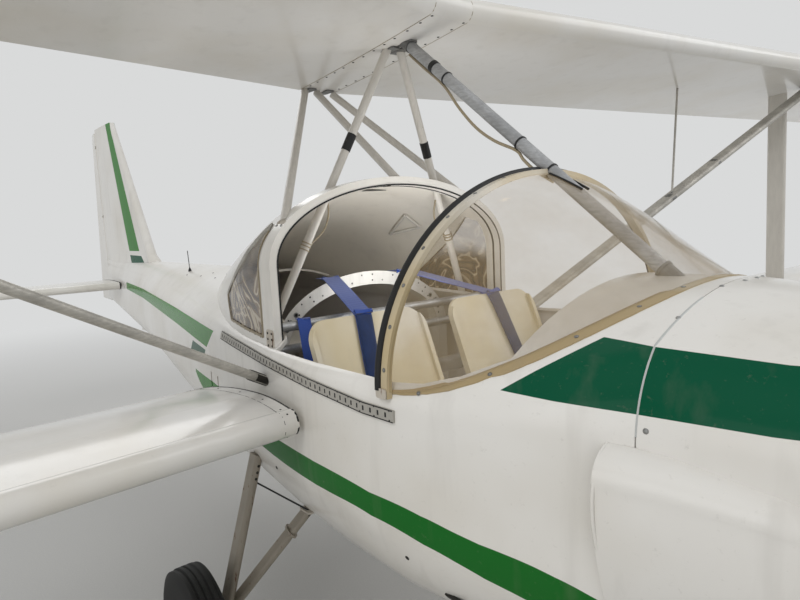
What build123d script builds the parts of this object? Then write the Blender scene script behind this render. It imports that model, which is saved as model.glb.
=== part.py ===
from build123d import *
import os
from math import cos, radians, sin, sqrt

# Two-seat strut-braced biplane microlight on a tricycle gear, parked.
# Millimetres, +X forward, +Y to port, +Z up from the ground. Stations run from the rear arch of the
# cabin, and the finished set is moved at the end so that its box is centred over the origin.

BASE = (Align.CENTER, Align.CENTER, Align.MIN)

# Fits and clearances
SEAT = 0.3            # gap between pieces that rest on each other
PIN_PLAY = 0.4        # radial play of a turning pin in its bore
RUNNING_GAP = 8.0     # gap between a moving surface and what it passes

# Body
WALL = 9.0            # moulded body wall
FIREWALL_X = 1130.0
LIP = 2.0             # how far the body stops short of the cowling's edge
STERN_X = -3640.0
CROWN_Z = 1324.0      # top of the nose deck on the centre line
SILL_Z = 1090.0
DECK_Z = 1282.0       # top of the rear deck

# Body sections. Columns: station, half width, bottom, lower corner radius, top of the upright side,
# shoulder half width, shoulder height, crown height
BODY_SECTIONS = [
    (FIREWALL_X, 425, 560, 260, 1075, 362, 1238, CROWN_Z),
    (1000, 488, 533, 300, 1075, 440, 1198, CROWN_Z),
    (860, 540, 512, 330, 1075, 503, 1164, CROWN_Z),
    (720, 572, 500, 350, 1075, 540, 1142, CROWN_Z),
    (560, 588, 492, 360, 1076, 560, 1128, CROWN_Z - 2),
    (300, 576, 484, 362, 1078, 546, 1122, CROWN_Z - 10),
    (0, 546, 480, 360, 1080, 512, 1120, 1300),
    (-300, 506, 490, 345, 1082, 468, 1125, 1292),
    (-700, 444, 530, 300, 1085, 400, 1145, DECK_Z + 4),
    (-1300, 345, 625, 225, 1085, 285, 1173, DECK_Z),
    (-2300, 190, 790, 122, 1100, 148, 1207, DECK_Z + 2),
    (STERN_X, 46, 965, 30, 1160, 30, 1238, DECK_Z + 6),
]
COWL_WALL = 5.0
COWL_SECTIONS = [
    (FIREWALL_X, 425, 560, 260, 1075, 362, 1238, CROWN_Z),
    (1330, 396, 590, 250, 1075, 330, 1228, 1306),
    (1480, 352, 645, 230, 1075, 284, 1206, 1277),
    (1590, 295, 710, 200, 1068, 230, 1180, 1240),
    (1660, 235, 780, 170, 1060, 180, 1150, 1200),
]

# Air outlets that bulge from the cowling's sides and stay open at the rear. Columns: station, root
# half width, top, bulge, height, how far the bottom edge tucks in
CHEEK_WALL = 4.0
CHEEK_ROOT = 8.0      # how deep the outlet's sides reach through the cowling's wall
CHEEK_OPEN = 60.0     # how deep its hollow reaches
CHEEK_SECTIONS = [
    (1086, 446, 1075, 46, 375, 30),
    (1200, 414, 1064, 42, 350, 26),
    (1340, 391, 1040, 29, 290, 18),
    (1470, 353, 1002, 11, 220, 17),
    (1520, 325, 985, 2, 180, 10),
]
INTAKE_Y = 130.0
INTAKE_Z = 930.0
INTAKE_RADIUS = 52.0
SHAFT_HOLE_RADIUS = 46.0
COWL_NOSE_X = 1640.0

# Cockpit opening in plan. It runs inside the windshield's foot and along the shoulders, and narrows
# for the rear arch and for the feet of the cabane tubes. Columns: station, half width
OPENING = [
    (880, 452),
    (800, 512),
    (720, 546),
    (624, 560),
    (560, 560),
    (300, 549),
    (45, 528),
    (40, 486),
    (-90, 420),
    (-820, 230),
]

# Upright slots in the body's sides
SLOT_PLACES = (-562.0, -659.0)
SLOT_Z = 892.0
SLOT_LONG = 14.0
SLOT_TALL = 62.0

# Windshield: half ellipse in plan on the deck, half ellipse seen from the front
GLASS = 3.0
SHIELD_X = 624.0      # rear edge
SHIELD_ORIGIN_X = 600.0
SHIELD_LENGTH = 470.0
SHIELD_HALF = 586.0
SHIELD_FOOT_Z = 1110.0
HOOP_WIDTH = 26.0
HOOP_DEPTH = 14.0
FLANGE_WIDTH = 30.0
FLANGE_THICK = 3.0
FLANGE_LOW_Z = 1100.0
SHIELD_TOP_Z = 1591.0
SHIELD_FRONT_X = 1068.6    # where the ridge meets the deck
SHIELD_FALL = 1.2226  # how late the ridge falls towards the nose
SHIELD_PEAK = 1.38    # superellipse exponent at the nose; at the hoop it is 2, an ellipse
SHIELD_STEPS = 8
SHIELD_REACH = 0.965  # share of the way to the front where the last section stands
SHIELD_SKIRT = 20.0
BRACE_SLOT = 3.0      # gap round the brace where it passes through the windshield

# Rear arch and roof shell
ARCH_HALF = 520.0
ARCH_SPRING_Z = 1360.0
ARCH_RISE = 267.0
ARCH_WIDTH = 52.0     # along X
ARCH_DEPTH = 30.0
ROOF_WALL = 7.0
# Columns: station, half width, height where the curve springs, rise of the curve
ROOF_SECTIONS = [
    (-ARCH_WIDTH / 2, ARCH_HALF - 2, ARCH_SPRING_Z, ARCH_RISE - 2),
    (-220, 494, 1300, 296),
    (-420, 456, 1232, 306),
    (-640, 396, 1180, 288),
    (-860, 318, 1146, 248),
    (-1060, 240, 1130, 192),
    (-1200, 180, 1128, 160),
]
# Quarter window corners: station, height
WINDOW_CORNERS = [(-60, 1146), (-60, 1460), (-100, 1480), (-428, 1248), (-400, 1160)]
PANE = 4.0
PANE_GAP = 0.6

# Upper wing. Sweep and dihedral are slopes per unit of span.
UPPER_LE_X = 300.0
UPPER_LE_Z = 2098.0
UPPER_CHORD = 790.0
UPPER_DROP = 100.0    # how far the trailing edge lies below the leading edge
UPPER_SWEEP = 0.150
UPPER_DIHEDRAL = 0.006
UPPER_HALF_SPAN = 4700.0
CENTRE_HALF = 76.0
TIP_CAP = 70.0
TIP_SHARE = 0.82     # chord at the very tip as a share of the wing's

FOIL_DEPTH = 0.118    # wing section's thickness as a share of its chord
FOIL_BELLY = 0.032    # and how much of that lies below the chord line
UPPER_BELLY = FOIL_BELLY * UPPER_CHORD

# Lower wing, which turns about its spar as the roll control
LOWER_LE_X = 178.0
LOWER_LE_Z = 930.0
LOWER_CHORD = 760.0
LOWER_DROP = 42.0
LOWER_SWEEP = 0.150
LOWER_DIHEDRAL = 0.028
LOWER_HALF_SPAN = 4050.0
ROOT_Y = 592.0        # inner end of the turning wing
SPAR_SHARE = 0.26     # spar place as a share of the chord
SPAR_RADIUS = 22.0
SPAR_TUBE_RADIUS = 29.0
SPAR_STUB = 120.0
SPAR_LIFT = 12.0      # the spar's axis above the chord line

# Struts
STRUT_Y = 2475.0      # upper end of the lift strut
STRUT_SHARE = 0.238   # its place as a share of the chord
BAY_Y = 2413.0
BAY_SHARE = 0.42
STRUT_BURY = 20.0     # how far a strut's axis runs on past the surface that it is cut to
LIFT_STRUT_LONG = 62.0
LIFT_STRUT_THICK = 26.0
BAY_STRUT_LONG = 92.0
BAY_STRUT_THICK = 26.0
SLOT_HALF_SPAN = 26.0
EYE_RADIUS = 34.0
JURY_RADIUS = 5.0
JURY_LOW = (226.0, 1474.0, 1532.0)
JURY_TOP = (168.0, 1636.0, 2080.0)
CABANE_RADIUS = 14.0
BRACE_RADIUS = 18.0
BRACE_TOP = (79.8, 0.0, 2053.1)
BRACE_FOOT = (1010.0, 0.0, 1294.4)
CABANE_TOP = (22.5, 18.7, 2060.0)
CABANE_FOOT = (-140.3, 451.6, 1130.0)
REAR_CABANE_TOP = (-455.0, 62.0, 1990.0)
REAR_CABANE_FOOT = (0.0, 445.0, 1490.0)
CENTRE_CABANE_TOP = (-470.0, 0.0, 1992.0)
CENTRE_CABANE_FOOT = (0.0, 0.0, 1622.0)
STRUT_ROOT = (-16.0, 534.0, 1013.0)
EYE_WIDTH = 26.0
POCKET_LENGTH = 220.0

# Tail
HINGE_X = -3690.0
RUDDER_NOSE = 21.0
RUDDER_BOTTOM_Z = 950.0
RUDDER_TOP_CHORD = 130.0
RUDDER_BOTTOM_CHORD = 310.0
FIN_TOP_Z = 2290.0
RUDDER_TOP_Z = FIN_TOP_Z - 20.0
FIN_TOP_LE_X = -3250.0
FIN_ROOT_LE_X = -2600.0
# Fin sections. Columns: height, station of the nose, half thickness
FIN_SECTIONS = [
    (1236, FIN_ROOT_LE_X + 190, 74),
    (1270, FIN_ROOT_LE_X + 62, 52),
    (1330, FIN_ROOT_LE_X - 20, 38),
    (FIN_TOP_Z, FIN_TOP_LE_X, 24),
]
HINGE_EYE = 9.0
HINGE_PIN = 4.0
HINGE_TALL = 6.0
HINGE_HEIGHTS = (1060.0, 1620.0, FIN_TOP_Z - 130.0)
TAIL_LE_X = -3000.0
TAIL_Z = 1112.0
TAIL_CHORD = 600.0
TAIL_HALF_THICK = 30.0
TAIL_SWEEP = -0.10
TAIL_HALF_SPAN = 1220.0
TAIL_ROOT_Y = 122.0
TAIL_TUBE_RADIUS = 19.0
TAIL_PIVOT_SHARE = 0.27
TAIL_TUBE_OUT = 420.0
TAIL_PIVOT_X = TAIL_LE_X - TAIL_PIVOT_SHARE * TAIL_CHORD
VENTRAL_OUTLINE = [(-2955, 1000), (-2990, 778), (-2250, 778), (-2250, 1000)]
VENTRAL_HALF = 11.0

# Undercarriage
AXLE_X = -215.0
MAIN_RADIUS = 200.0
AXLE_Z = MAIN_RADIUS    # it stands on the ground
MAIN_WIDTH = 104.0
MAIN_TRACK_HALF = 745.0
NOSE_X = 1250.0
NOSE_RADIUS = 165.0
NOSE_WIDTH = 90.0
AXLE_RADIUS = 10.0
FORK_LEG = 10.0       # thickness of a fork leg
FORK_HALF = 17.0      # middle of a fork leg outside the tyre's side
STEM_RADIUS = 16.0
STEM_TOP_Z = 750.0
CROWN_TOP_Z = 375.0
CROWN_TALL = 30.0
COLUMN_RADIUS = 24.0
COLUMN_FOOT_Z = 430.0
COLUMN_TALL = 330.0
ARM_Z = 640.0
ARM_WIDTH = 60.0
ARM_TALL = 70.0
GEAR_FORE_ROOT = (-60.0, 398.0, 540.0)
GEAR_SIDE_ROOT = (-205.0, 500.0, 720.0)
GEAR_JOINT_IN = 90.0  # how far inboard of the wheel's middle the legs meet
RIM_SHARE = 0.5
TOW_PIN_RADIUS = 8.0
TOW_PIN_LENGTH = 28.0

# Engine and propeller
THRUST_Z = 1050.0
PROP_X = 1765.0
PROP_RADIUS = 800.0
SPINNER_BACK_X = 1700.0
SPINNER_TIP_X = 1930.0
SPINNER_RADIUS = 118.0
GEARBOX_X = 1650.0
SHAFT_RADIUS = 25.0
ENGINE_MIDDLE = (1380.0, 0.0, 985.0)
ENGINE_SIZE = (400.0, 260.0, 340.0)
BOSS_X = 1580.0
BOSS_RADIUS = 60.0
MOUNT_STUBS = [(-100, 860), (100, 860), (-100, 1110), (100, 1110)]
MOUNT_STUB_RADIUS = 14.0
FIREWALL_FRONT = FIREWALL_X + 4.6
HUB_RADIUS = 70.0
HUB_LENGTH = 96.0
SPINNER_WALL = 26.0
BLADE_HOLE_RADIUS = 48.0
# Columns: place along the blade, chord, thickness, twist
BLADE_SECTIONS = [(60, 78, 46, 52), (200, 112, 30, 36), (480, 104, 20, 20), (PROP_RADIUS, 62, 9, 12)]

# Cabin
SEAT_Y = 275.0
SEAT_HALF = 215.0
SEAT_EDGE = 16.0      # width of the raised edges
SEAT_EDGE_RISE = 12.0
SEAT_CORNER = 65.0
SEAT_TOP_Z = 1203.0
# Side view of the seat's shell: back, pan and front roll, then the same way back underneath
SEAT_FRONT = [(158, 1203), (338, 765), (402, 722), (800, 762), (812, 744)]
SEAT_REAR = [(806, 728), (400, 702), (324, 748), (150, 1200)]
FLOOR_Z = 560.0
BULKHEAD_X = -204.0
BULKHEAD_HALF = 400.0
BULKHEAD_SPRING_Z = 1050.0
BULKHEAD_RISE = 245.0
BULKHEAD_WIDTH = 50.0
BULKHEAD_DEPTH = 46.0
SHEET = 4.0
ARCH_TUBE_Z = 1171.0  # tube between the legs of the rear arch
TUBE_RADIUS = 15.0
# Other tubes across the cabin. Columns: station, height
CROSS_TUBES = [(0, 1100), (430, 688.5), (760, 709.6)]

# Harness. Columns: station, place across, height, width
WEBBING = 3.0
SHOULDER_STRAP = [(-246, 160, 1281.5, 66), (-198, 168, 1282.8, 66), (-160, 180, 1280, 66),
                  (146, 284, 1206.5, 62), (161.5, 290, 1205, 60), (230, 318, 1038.5, 46), (300, 338, 868, 46)]
SIDE_STRAP = [(-8, 402, 1188.1, 44), (10, 408, 1187.6, 44), (21, 412, 1174, 44), (100, 444, 1065, 44)]

STICK_FOOT = (560.0, 0.0, FLOOR_Z + 20)
STICK_BEND = (600.0, 0.0, 860.0)
STICK_TOP = (612.0, 0.0, 960.0)
STICK_RADIUS = 11.0
GRIP_RADIUS = 17.0
PEDAL_BAR_X = 1070.0
PEDAL_BAR_Z = 850.0
PEDAL_BAR_RADIUS = 10.0
PEDAL_PLACES = (-315.0, -190.0, 190.0, 315.0)
PEDAL_DROP = 180.0
PANEL_X = OPENING[0][0] + 8
KNEE_HOLE_RADIUS = 120.0
KNEE_HOLE_Z = 900.0
SHELF_X = -255.0
SHELF_Z = 1030.0
SHELF_LENGTH = 560.0
FLOOR_X = -195.0
FLOOR_LENGTH = 1290.0
THIN = 6.0            # thickness of floor, panel and firewall
RAIL_X = 105.0        # middle of a door rail
RAIL_Z = 1080.0
RAIL_LENGTH = 1110.0
RAIL_TALL = 27.0
RAIL_DEPTH = 6.0
RAIL_SLOPE = 2.06     # degrees, nose down
CROSS = 3000.0        # longer than the aircraft's body is wide, for cuts across it

TAIL_END_X = HINGE_X - RUDDER_BOTTOM_CHORD
X_SHIFT = -(SPINNER_TIP_X + TAIL_END_X) / 2


def save(name, *shapes):
    """Writes the solids of one node, moved to the shared origin."""
    solids = [solid for shape in shapes for solid in shape.solids()]
    node = Compound(children=solids) if len(solids) > 1 else solids[0]
    export_step(Pos(X_SHIFT, 0, 0) * node, f"parts/{name}.step")


def save_pair(name, shape):
    left, right = both_sides(shape)
    save(f"{name}_left", left)
    save(f"{name}_right", right)


def both_sides(shape):
    return [shape, mirror(shape, about=Plane.XZ)]


def body_section(row, inset=0.0):
    """Outline of the body at one station: flat bottom, round lower corners, upright sides, crown."""
    x, half, bottom, radius, side_z, shoulder_y, shoulder_z, crown = row
    w, zb, r = half - inset, bottom + inset, radius - inset
    ys, zs, zt = shoulder_y - 0.7 * inset, shoulder_z - 0.9 * inset, crown - inset
    bend = r * (1 - sin(radians(45)))
    lines = [Line((r - w, zb), (w - r, zb))]
    for s in (1, -1):
        lines += [
            ThreePointArc((s * (w - r), zb), (s * (w - bend), zb + bend), (s * w, zb + r)),
            Line((s * w, zb + r), (s * w, side_z)),
            TangentArc((s * w, side_z), (s * ys, zs), tangent=(0, 1)),
        ]
    lines.append(ThreePointArc((ys, zs), (0, zt), (-ys, zs)))
    return Plane.YZ.offset(x) * make_face(Curve() + lines)


def body_loft(sections, inset=0.0):
    return loft([body_section(row, inset) for row in sections], ruled=True)


def arch_section(x, half, foot_z, spring_z, rise):
    """Upright sides that spring into half an ellipse, seen along X."""
    legs = Polyline((-half, spring_z), (-half, foot_z), (half, foot_z), (half, spring_z))
    top = EllipticalCenterArc((0, spring_z), half, rise, 0, arc_size=180)
    return Plane.YZ.offset(x) * make_face(Curve() + [legs, top])


def airfoil(chord, depth=FOIL_DEPTH, belly=FOIL_BELLY):
    """Wing section in the XZ plane with its nose at the origin and its tail at -X."""
    nose_up = (-0.055 * chord, 0.52 * depth * chord)
    nose_low = (-0.05 * chord, -belly * chord)
    top = (-0.30 * chord, (depth - belly) * chord)
    tail_up, tail_low = (-chord, 3.0), (-chord, -2.0)
    nose = ThreePointArc(nose_low, (0, 0), nose_up)
    fore = TangentArc(top, nose_up, tangent=(1, 0))
    aft = TangentArc(top, tail_up, tangent=(-1, 0))
    belly_line = ThreePointArc(nose_low, (-0.4 * chord, -belly * 0.85 * chord), tail_low)
    return make_face(Curve() + [nose, fore, aft, Line(tail_up, tail_low), belly_line])


def symmetric_foil(chord, half_thick, tail_half=3.0):
    """Symmetric tail section, nose at the origin and tail at -X."""
    nose_x = -1.1 * half_thick
    edge = [(nose_x, half_thick * 0.82), (nose_x, -half_thick * 0.82)]
    nose = ThreePointArc(edge[1], (0, 0), edge[0])
    sides = [ThreePointArc(edge[0], (-0.32 * chord, half_thick), (-chord, tail_half))]
    sides.append(ThreePointArc(edge[1], (-0.32 * chord, -half_thick), (-chord, -tail_half)))
    return make_face(Curve() + [nose, Line((-chord, tail_half), (-chord, -tail_half))] + sides)


def tube(start, end, radius, inner=0.0):
    a, b = Vector(*start), Vector(*end)
    plane = Plane(a, z_dir=b - a)
    profile = Circle(radius) - Circle(inner) if inner else Circle(radius)
    return extrude(plane * profile, (b - a).length)


def streamlined(start, end, long, thick):
    """Strut of flattened section, with its long side along X as near as the run allows."""
    a, b = Vector(*start), Vector(*end)
    run = (b - a).normalized()
    along = (Vector(1, 0, 0) - run * run.X).normalized()
    return extrude(Plane(a, x_dir=along, z_dir=run) * SlotOverall(long, thick), (b - a).length)


# Wings

def wing_panel(le_x, le_z, chord, drop, sweep, dihedral, inner_y, outer_y):
    """Port panel with constant chord, swept and raised by shear, with a tapered tip cap."""
    tilt = drop / chord
    run = Vector(sweep, 1, dihedral)

    def foil_at(y, share):
        shrink = chord * (1 - share) / 2
        spot = (le_x + sweep * y - shrink, y, le_z + dihedral * y - tilt * shrink)
        plane = Plane(spot, x_dir=(1, 0, tilt), z_dir=(0, -1, 0))
        return plane * airfoil(chord * share)

    main_end = outer_y - TIP_CAP
    panel = extrude(foil_at(inner_y, 1), amount=(main_end - inner_y) * run.length, dir=run)
    return panel + loft([foil_at(main_end, 1), foil_at(outer_y, TIP_SHARE)], ruled=True)


def upper_spot(share, y, below=0.0):
    """Point on the upper wing's chord line at a share of the chord."""
    side = abs(y)
    x = UPPER_LE_X + UPPER_SWEEP * side - share * UPPER_CHORD
    z = UPPER_LE_Z + UPPER_DIHEDRAL * side - share * UPPER_DROP - below
    return (x, y, z)


def lower_spot(share, y, above=0.0):
    side = abs(y)
    x = LOWER_LE_X + LOWER_SWEEP * side - share * LOWER_CHORD
    z = LOWER_LE_Z + LOWER_DIHEDRAL * side - share * LOWER_DROP + above
    return (x, y, z)


def upper_panel():
    return wing_panel(UPPER_LE_X, UPPER_LE_Z, UPPER_CHORD, UPPER_DROP, UPPER_SWEEP,
                      UPPER_DIHEDRAL, CENTRE_HALF + SEAT, UPPER_HALF_SPAN)


def upper_centre():
    plane = Plane((UPPER_LE_X + UPPER_SWEEP * CENTRE_HALF, CENTRE_HALF, UPPER_LE_Z),
                  x_dir=(1, 0, UPPER_DROP / UPPER_CHORD), z_dir=(0, -1, 0))
    return extrude(plane * airfoil(UPPER_CHORD - 4), 2 * CENTRE_HALF)


def lower_wing():
    panel = wing_panel(LOWER_LE_X, LOWER_LE_Z, LOWER_CHORD, LOWER_DROP, LOWER_SWEEP,
                       LOWER_DIHEDRAL, ROOT_Y, LOWER_HALF_SPAN)
    spar_in = lower_spot(SPAR_SHARE, ROOT_Y - SPAR_STUB, SPAR_LIFT)
    spar_out = lower_spot(SPAR_SHARE, BAY_Y + SPAR_STUB, SPAR_LIFT)
    foot = Pos(*lower_spot(SPAR_SHARE, BAY_Y, SPAR_LIFT))
    pocket = foot * Box(POCKET_LENGTH, 2 * SLOT_HALF_SPAN, 2 * (EYE_RADIUS + RUNNING_GAP))
    pocket += foot * Box(POCKET_LENGTH, 2 * SLOT_HALF_SPAN, LOWER_CHORD, align=BASE)
    return panel - pocket + tube(spar_in, spar_out, SPAR_RADIUS)


def carry_through():
    """Tube across the cabin whose ends carry the stubs of both lower wings."""
    middle = lower_spot(SPAR_SHARE, 0, SPAR_LIFT)
    end = lower_spot(SPAR_SHARE, ROOT_Y - RUNNING_GAP - SPAR_LIFT, SPAR_LIFT)
    halves = both_sides(tube(middle, end, SPAR_TUBE_RADIUS))
    bores = both_sides(tube(lower_spot(SPAR_SHARE, ROOT_Y - SPAR_STUB - TOW_PIN_RADIUS, SPAR_LIFT),
                            lower_spot(SPAR_SHARE, ROOT_Y, SPAR_LIFT), SPAR_RADIUS + PIN_PLAY))
    return halves[0] + halves[1] - bores[0] - bores[1]


# Struts

def lift_strut():
    top = upper_spot(STRUT_SHARE, STRUT_Y, UPPER_BELLY - STRUT_BURY)
    return streamlined(STRUT_ROOT, top, LIFT_STRUT_LONG, LIFT_STRUT_THICK) - hull_grown - wing_lowered


def bay_strut():
    """Strut between the wings, with the eye at its foot that carries the lower wing's spar."""
    spar = Vector(*lower_spot(SPAR_SHARE, BAY_Y, SPAR_LIFT))
    top = upper_spot(BAY_SHARE, BAY_Y, UPPER_BELLY - STRUT_BURY)
    post = streamlined(spar + Vector(0, 0, EYE_RADIUS * 0.6), top, BAY_STRUT_LONG, BAY_STRUT_THICK)
    run = Vector(LOWER_SWEEP, 1, LOWER_DIHEDRAL).normalized()
    eye = tube(spar - run * (EYE_WIDTH / 2), spar + run * (EYE_WIDTH / 2), EYE_RADIUS)
    bore = tube(spar - run * EYE_WIDTH * 2, spar + run * EYE_WIDTH * 2, SPAR_RADIUS + PIN_PLAY)
    return post + eye - bore - wing_lowered


def jury_strut(strut):
    """Thin rod that steadies the lift strut from the wing."""
    return tube(JURY_LOW, JURY_TOP, JURY_RADIUS) - wing_lowered - Pos(0, 0, SEAT) * strut


def cabane_front():
    """Two tubes from the upper wing through the roof to the edge of the cockpit opening."""
    legs = both_sides(tube(CABANE_TOP, CABANE_FOOT, CABANE_RADIUS) - hull_raised)
    return [leg - centre_lowered for leg in legs]


def cabane_rear():
    """Two tubes to the sides of the rear arch and one to its top."""
    face = arch_section(-ARCH_WIDTH, ARCH_HALF + SEAT, SILL_Z, ARCH_SPRING_Z, ARCH_RISE + SEAT)
    arch = extrude(face, 2 * ARCH_WIDTH)
    legs = both_sides(tube(REAR_CABANE_TOP, REAR_CABANE_FOOT, CABANE_RADIUS))
    legs.append(tube(CENTRE_CABANE_TOP, CENTRE_CABANE_FOOT, CABANE_RADIUS))
    return [leg - arch - centre_lowered for leg in legs]


def windshield_brace():
    return tube(BRACE_TOP, BRACE_FOOT, BRACE_RADIUS) - hull_raised - centre_lowered


# Tail

def fin():
    back = HINGE_X + RUDDER_NOSE + RUNNING_GAP
    faces = []
    for z, nose_x, half in FIN_SECTIONS:
        plane = Plane((nose_x, 0, z), x_dir=(1, 0, 0), z_dir=(0, 0, 1))
        faces.append(plane * symmetric_foil(nose_x - back, half, tail_half=min(half, RUDDER_NOSE)))
    body = loft(faces, ruled=True) - Pos(0, 0, SEAT) * hull_outer
    reach = back + HINGE_PIN - HINGE_X
    for z in HINGE_HEIGHTS:
        arm = Pos(HINGE_X + reach / 2, 0, z) * Box(reach, 2 * HINGE_EYE - 2, HINGE_TALL)
        eye = Pos(HINGE_X, 0, z) * Cylinder(HINGE_EYE, HINGE_TALL)
        body += arm + eye - Pos(HINGE_X, 0, z) * Cylinder(HINGE_PIN + PIN_PLAY, HINGE_TALL)
    return body


def rudder():
    """Rudder that carries its hinge pins in slots round the fin's eyes."""
    faces = []
    for z, chord in ((RUDDER_BOTTOM_Z, RUDDER_BOTTOM_CHORD), (RUDDER_TOP_Z, RUDDER_TOP_CHORD)):
        nose = ThreePointArc((0, RUDDER_NOSE), (RUDDER_NOSE, 0), (0, -RUDDER_NOSE))
        back = Polyline((0, -RUDDER_NOSE), (-chord, -3), (-chord, 3), (0, RUDDER_NOSE))
        faces.append(Pos(HINGE_X, 0, z) * make_face(Curve() + [nose, back]))
    blade = loft(faces, ruled=True)
    slot_tall = HINGE_TALL + 2 * RUNNING_GAP
    slot_back = 2 * HINGE_EYE
    for z in HINGE_HEIGHTS:
        slot = Box(4 * slot_back, 3 * RUDDER_NOSE, slot_tall, align=(Align.MIN, Align.CENTER, Align.CENTER))
        blade -= Pos(HINGE_X - slot_back, 0, z) * slot
        blade += Pos(HINGE_X, 0, z) * Cylinder(HINGE_PIN, slot_tall)
    return blade


def tailplane():
    run = Vector(TAIL_SWEEP, 1, 0)
    plane = Plane((TAIL_LE_X, TAIL_ROOT_Y, TAIL_Z), x_dir=(1, 0, 0), z_dir=(0, -1, 0))
    span = (TAIL_HALF_SPAN - TAIL_ROOT_Y) * run.length
    half = extrude(plane * symmetric_foil(TAIL_CHORD, TAIL_HALF_THICK), amount=span, dir=run)
    bore = Rot(90, 0, 0) * Cylinder(TAIL_TUBE_RADIUS + SEAT, 2 * (TAIL_TUBE_OUT + SEAT))
    return half - Pos(TAIL_PIVOT_X, 0, TAIL_Z) * bore


def tail_tube():
    return Pos(TAIL_PIVOT_X, 0, TAIL_Z) * Rot(90, 0, 0) * Cylinder(TAIL_TUBE_RADIUS, 2 * TAIL_TUBE_OUT)


def ventral_fin():
    outline = Polyline(*VENTRAL_OUTLINE, VENTRAL_OUTLINE[0])
    plate = extrude(Plane.XZ * make_face(outline), VENTRAL_HALF, both=True)
    return plate - Pos(0, 0, -SEAT) * hull_outer


# Cabin shell

def cockpit_cut():
    outline = OPENING + [(x, -y) for x, y in reversed(OPENING)]
    return Pos(0, 0, SILL_Z - 90) * extrude(make_face(Polyline(*outline, outline[0])), 400)


def fuselage():
    inner_rows = [row for row in BODY_SECTIONS if row[0] > STERN_X]
    hull = hull_outer - body_loft(inner_rows, WALL) - cockpit_cut()
    trim = Box(20, CROSS, CROSS, align=(Align.MIN, Align.CENTER, Align.CENTER))
    hull -= Pos(FIREWALL_X - LIP, 0, 0) * trim
    bore = Rot(90, 0, 0) * Cylinder(TAIL_TUBE_RADIUS + PIN_PLAY, TAIL_TUBE_OUT)
    hull -= Pos(TAIL_PIVOT_X, 0, TAIL_Z) * bore
    inside, outside = [lower_spot(SPAR_SHARE, y, SPAR_LIFT) for y in (ROOT_Y / 2, ROOT_Y + SPAR_TUBE_RADIUS)]
    for hole in both_sides(tube(inside, outside, SPAR_TUBE_RADIUS + SEAT)):
        hull -= hole
    for x in SLOT_PLACES:
        hull -= Pos(x, 0, SLOT_Z) * Box(SLOT_LONG, CROSS, SLOT_TALL)
    return hull


def shield_arch(x, inset, skirt):
    """Arch across the deck at one station of the windshield, from two side arcs and a top arc."""
    share = (x - SHIELD_X) / (SHIELD_FRONT_X - SHIELD_X)
    plan = sqrt(1 - ((x - SHIELD_ORIGIN_X) / SHIELD_LENGTH) ** 2)
    half = SHIELD_HALF * plan - inset
    foot = CROWN_Z - (CROWN_Z - SHIELD_FOOT_Z) * plan ** 2
    rise = SHIELD_TOP_Z - (SHIELD_TOP_Z - CROWN_Z) * share ** SHIELD_FALL - foot - inset
    power = 2 / (2 + (SHIELD_PEAK - 2) * share)

    def spot(angle, side=1):
        turn = radians(angle)
        return (side * half * cos(turn) ** power, foot + rise * sin(turn) ** power)

    top = (0, foot + rise)
    lines = [ThreePointArc(spot(54), top, spot(54, -1))]
    for side in (1, -1):
        lines.append(ThreePointArc((side * half, foot), spot(27, side), spot(54, side)))
    lines.append(Polyline((half, foot), (half, foot - skirt), (-half, foot - skirt), (-half, foot)))
    return Plane.YZ.offset(x - inset) * make_face(Curve() + lines)


def windshield():
    start = SHIELD_X + HOOP_WIDTH
    step = (SHIELD_X + SHIELD_REACH * (SHIELD_FRONT_X - SHIELD_X) - start) / SHIELD_STEPS
    stations = [start + step * i for i in range(SHIELD_STEPS + 1)]
    outer = loft([shield_arch(x, 0, SHIELD_SKIRT) for x in stations], ruled=True)
    inner = loft([shield_arch(x, GLASS, 3 * SHIELD_SKIRT) for x in stations], ruled=True)
    return outer - inner - hull_raised - tube(BRACE_TOP, BRACE_FOOT, BRACE_RADIUS + BRACE_SLOT)


def windshield_hoop():
    """Two half hoops that end at the brace."""
    def ring(x, grow):
        return arch_section(x, SHIELD_HALF + grow, SHIELD_FOOT_Z - 12, SHIELD_FOOT_Z,
                            SHIELD_TOP_Z - SHIELD_FOOT_Z + grow)
    outer = extrude(ring(SHIELD_X, 3), HOOP_WIDTH - SEAT)
    inner = extrude(ring(SHIELD_X - 5, 3 - HOOP_DEPTH), HOOP_WIDTH + 10)
    notch = Pos(SHIELD_X, 0, SHIELD_TOP_Z) * Box(4 * HOOP_WIDTH, 2 * (BRACE_RADIUS + SEAT), 4 * HOOP_DEPTH)
    return (outer - inner - hull_raised - notch).solids()


def windshield_flange():
    """Strip that follows the foot of the windshield over the deck."""
    def plan(grow):
        ellipse = Ellipse(SHIELD_LENGTH + grow, SHIELD_HALF + grow)
        return Pos(SHIELD_ORIGIN_X, 0, FLANGE_LOW_Z) * extrude(ellipse, 400)
    ring = plan(FLANGE_WIDTH) - plan(3)
    block = Box(2000, 3000, 2000, align=(Align.MAX, Align.CENTER, Align.CENTER))
    ring -= Pos(SHIELD_X + HOOP_WIDTH, 0, SILL_Z) * block
    ring -= Pos(FIREWALL_X - 4, 0, SILL_Z) * mirror(block, about=Plane.YZ)
    return (ring & (Pos(0, 0, FLANGE_THICK + SEAT) * hull_outer)) - hull_raised


def rear_arch():
    def ring(x, grow):
        return arch_section(x, ARCH_HALF + grow, SILL_Z - 20, ARCH_SPRING_Z, ARCH_RISE + grow)
    x = -ARCH_WIDTH / 2
    return extrude(ring(x, 0), ARCH_WIDTH) - extrude(ring(x - 5, -ARCH_DEPTH), ARCH_WIDTH + 10) - hull_raised


def roof_loft(inset):
    return loft([arch_section(x, half - inset, 1060, spring, rise - inset)
                 for x, half, spring, rise in ROOF_SECTIONS], ruled=True)


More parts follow.
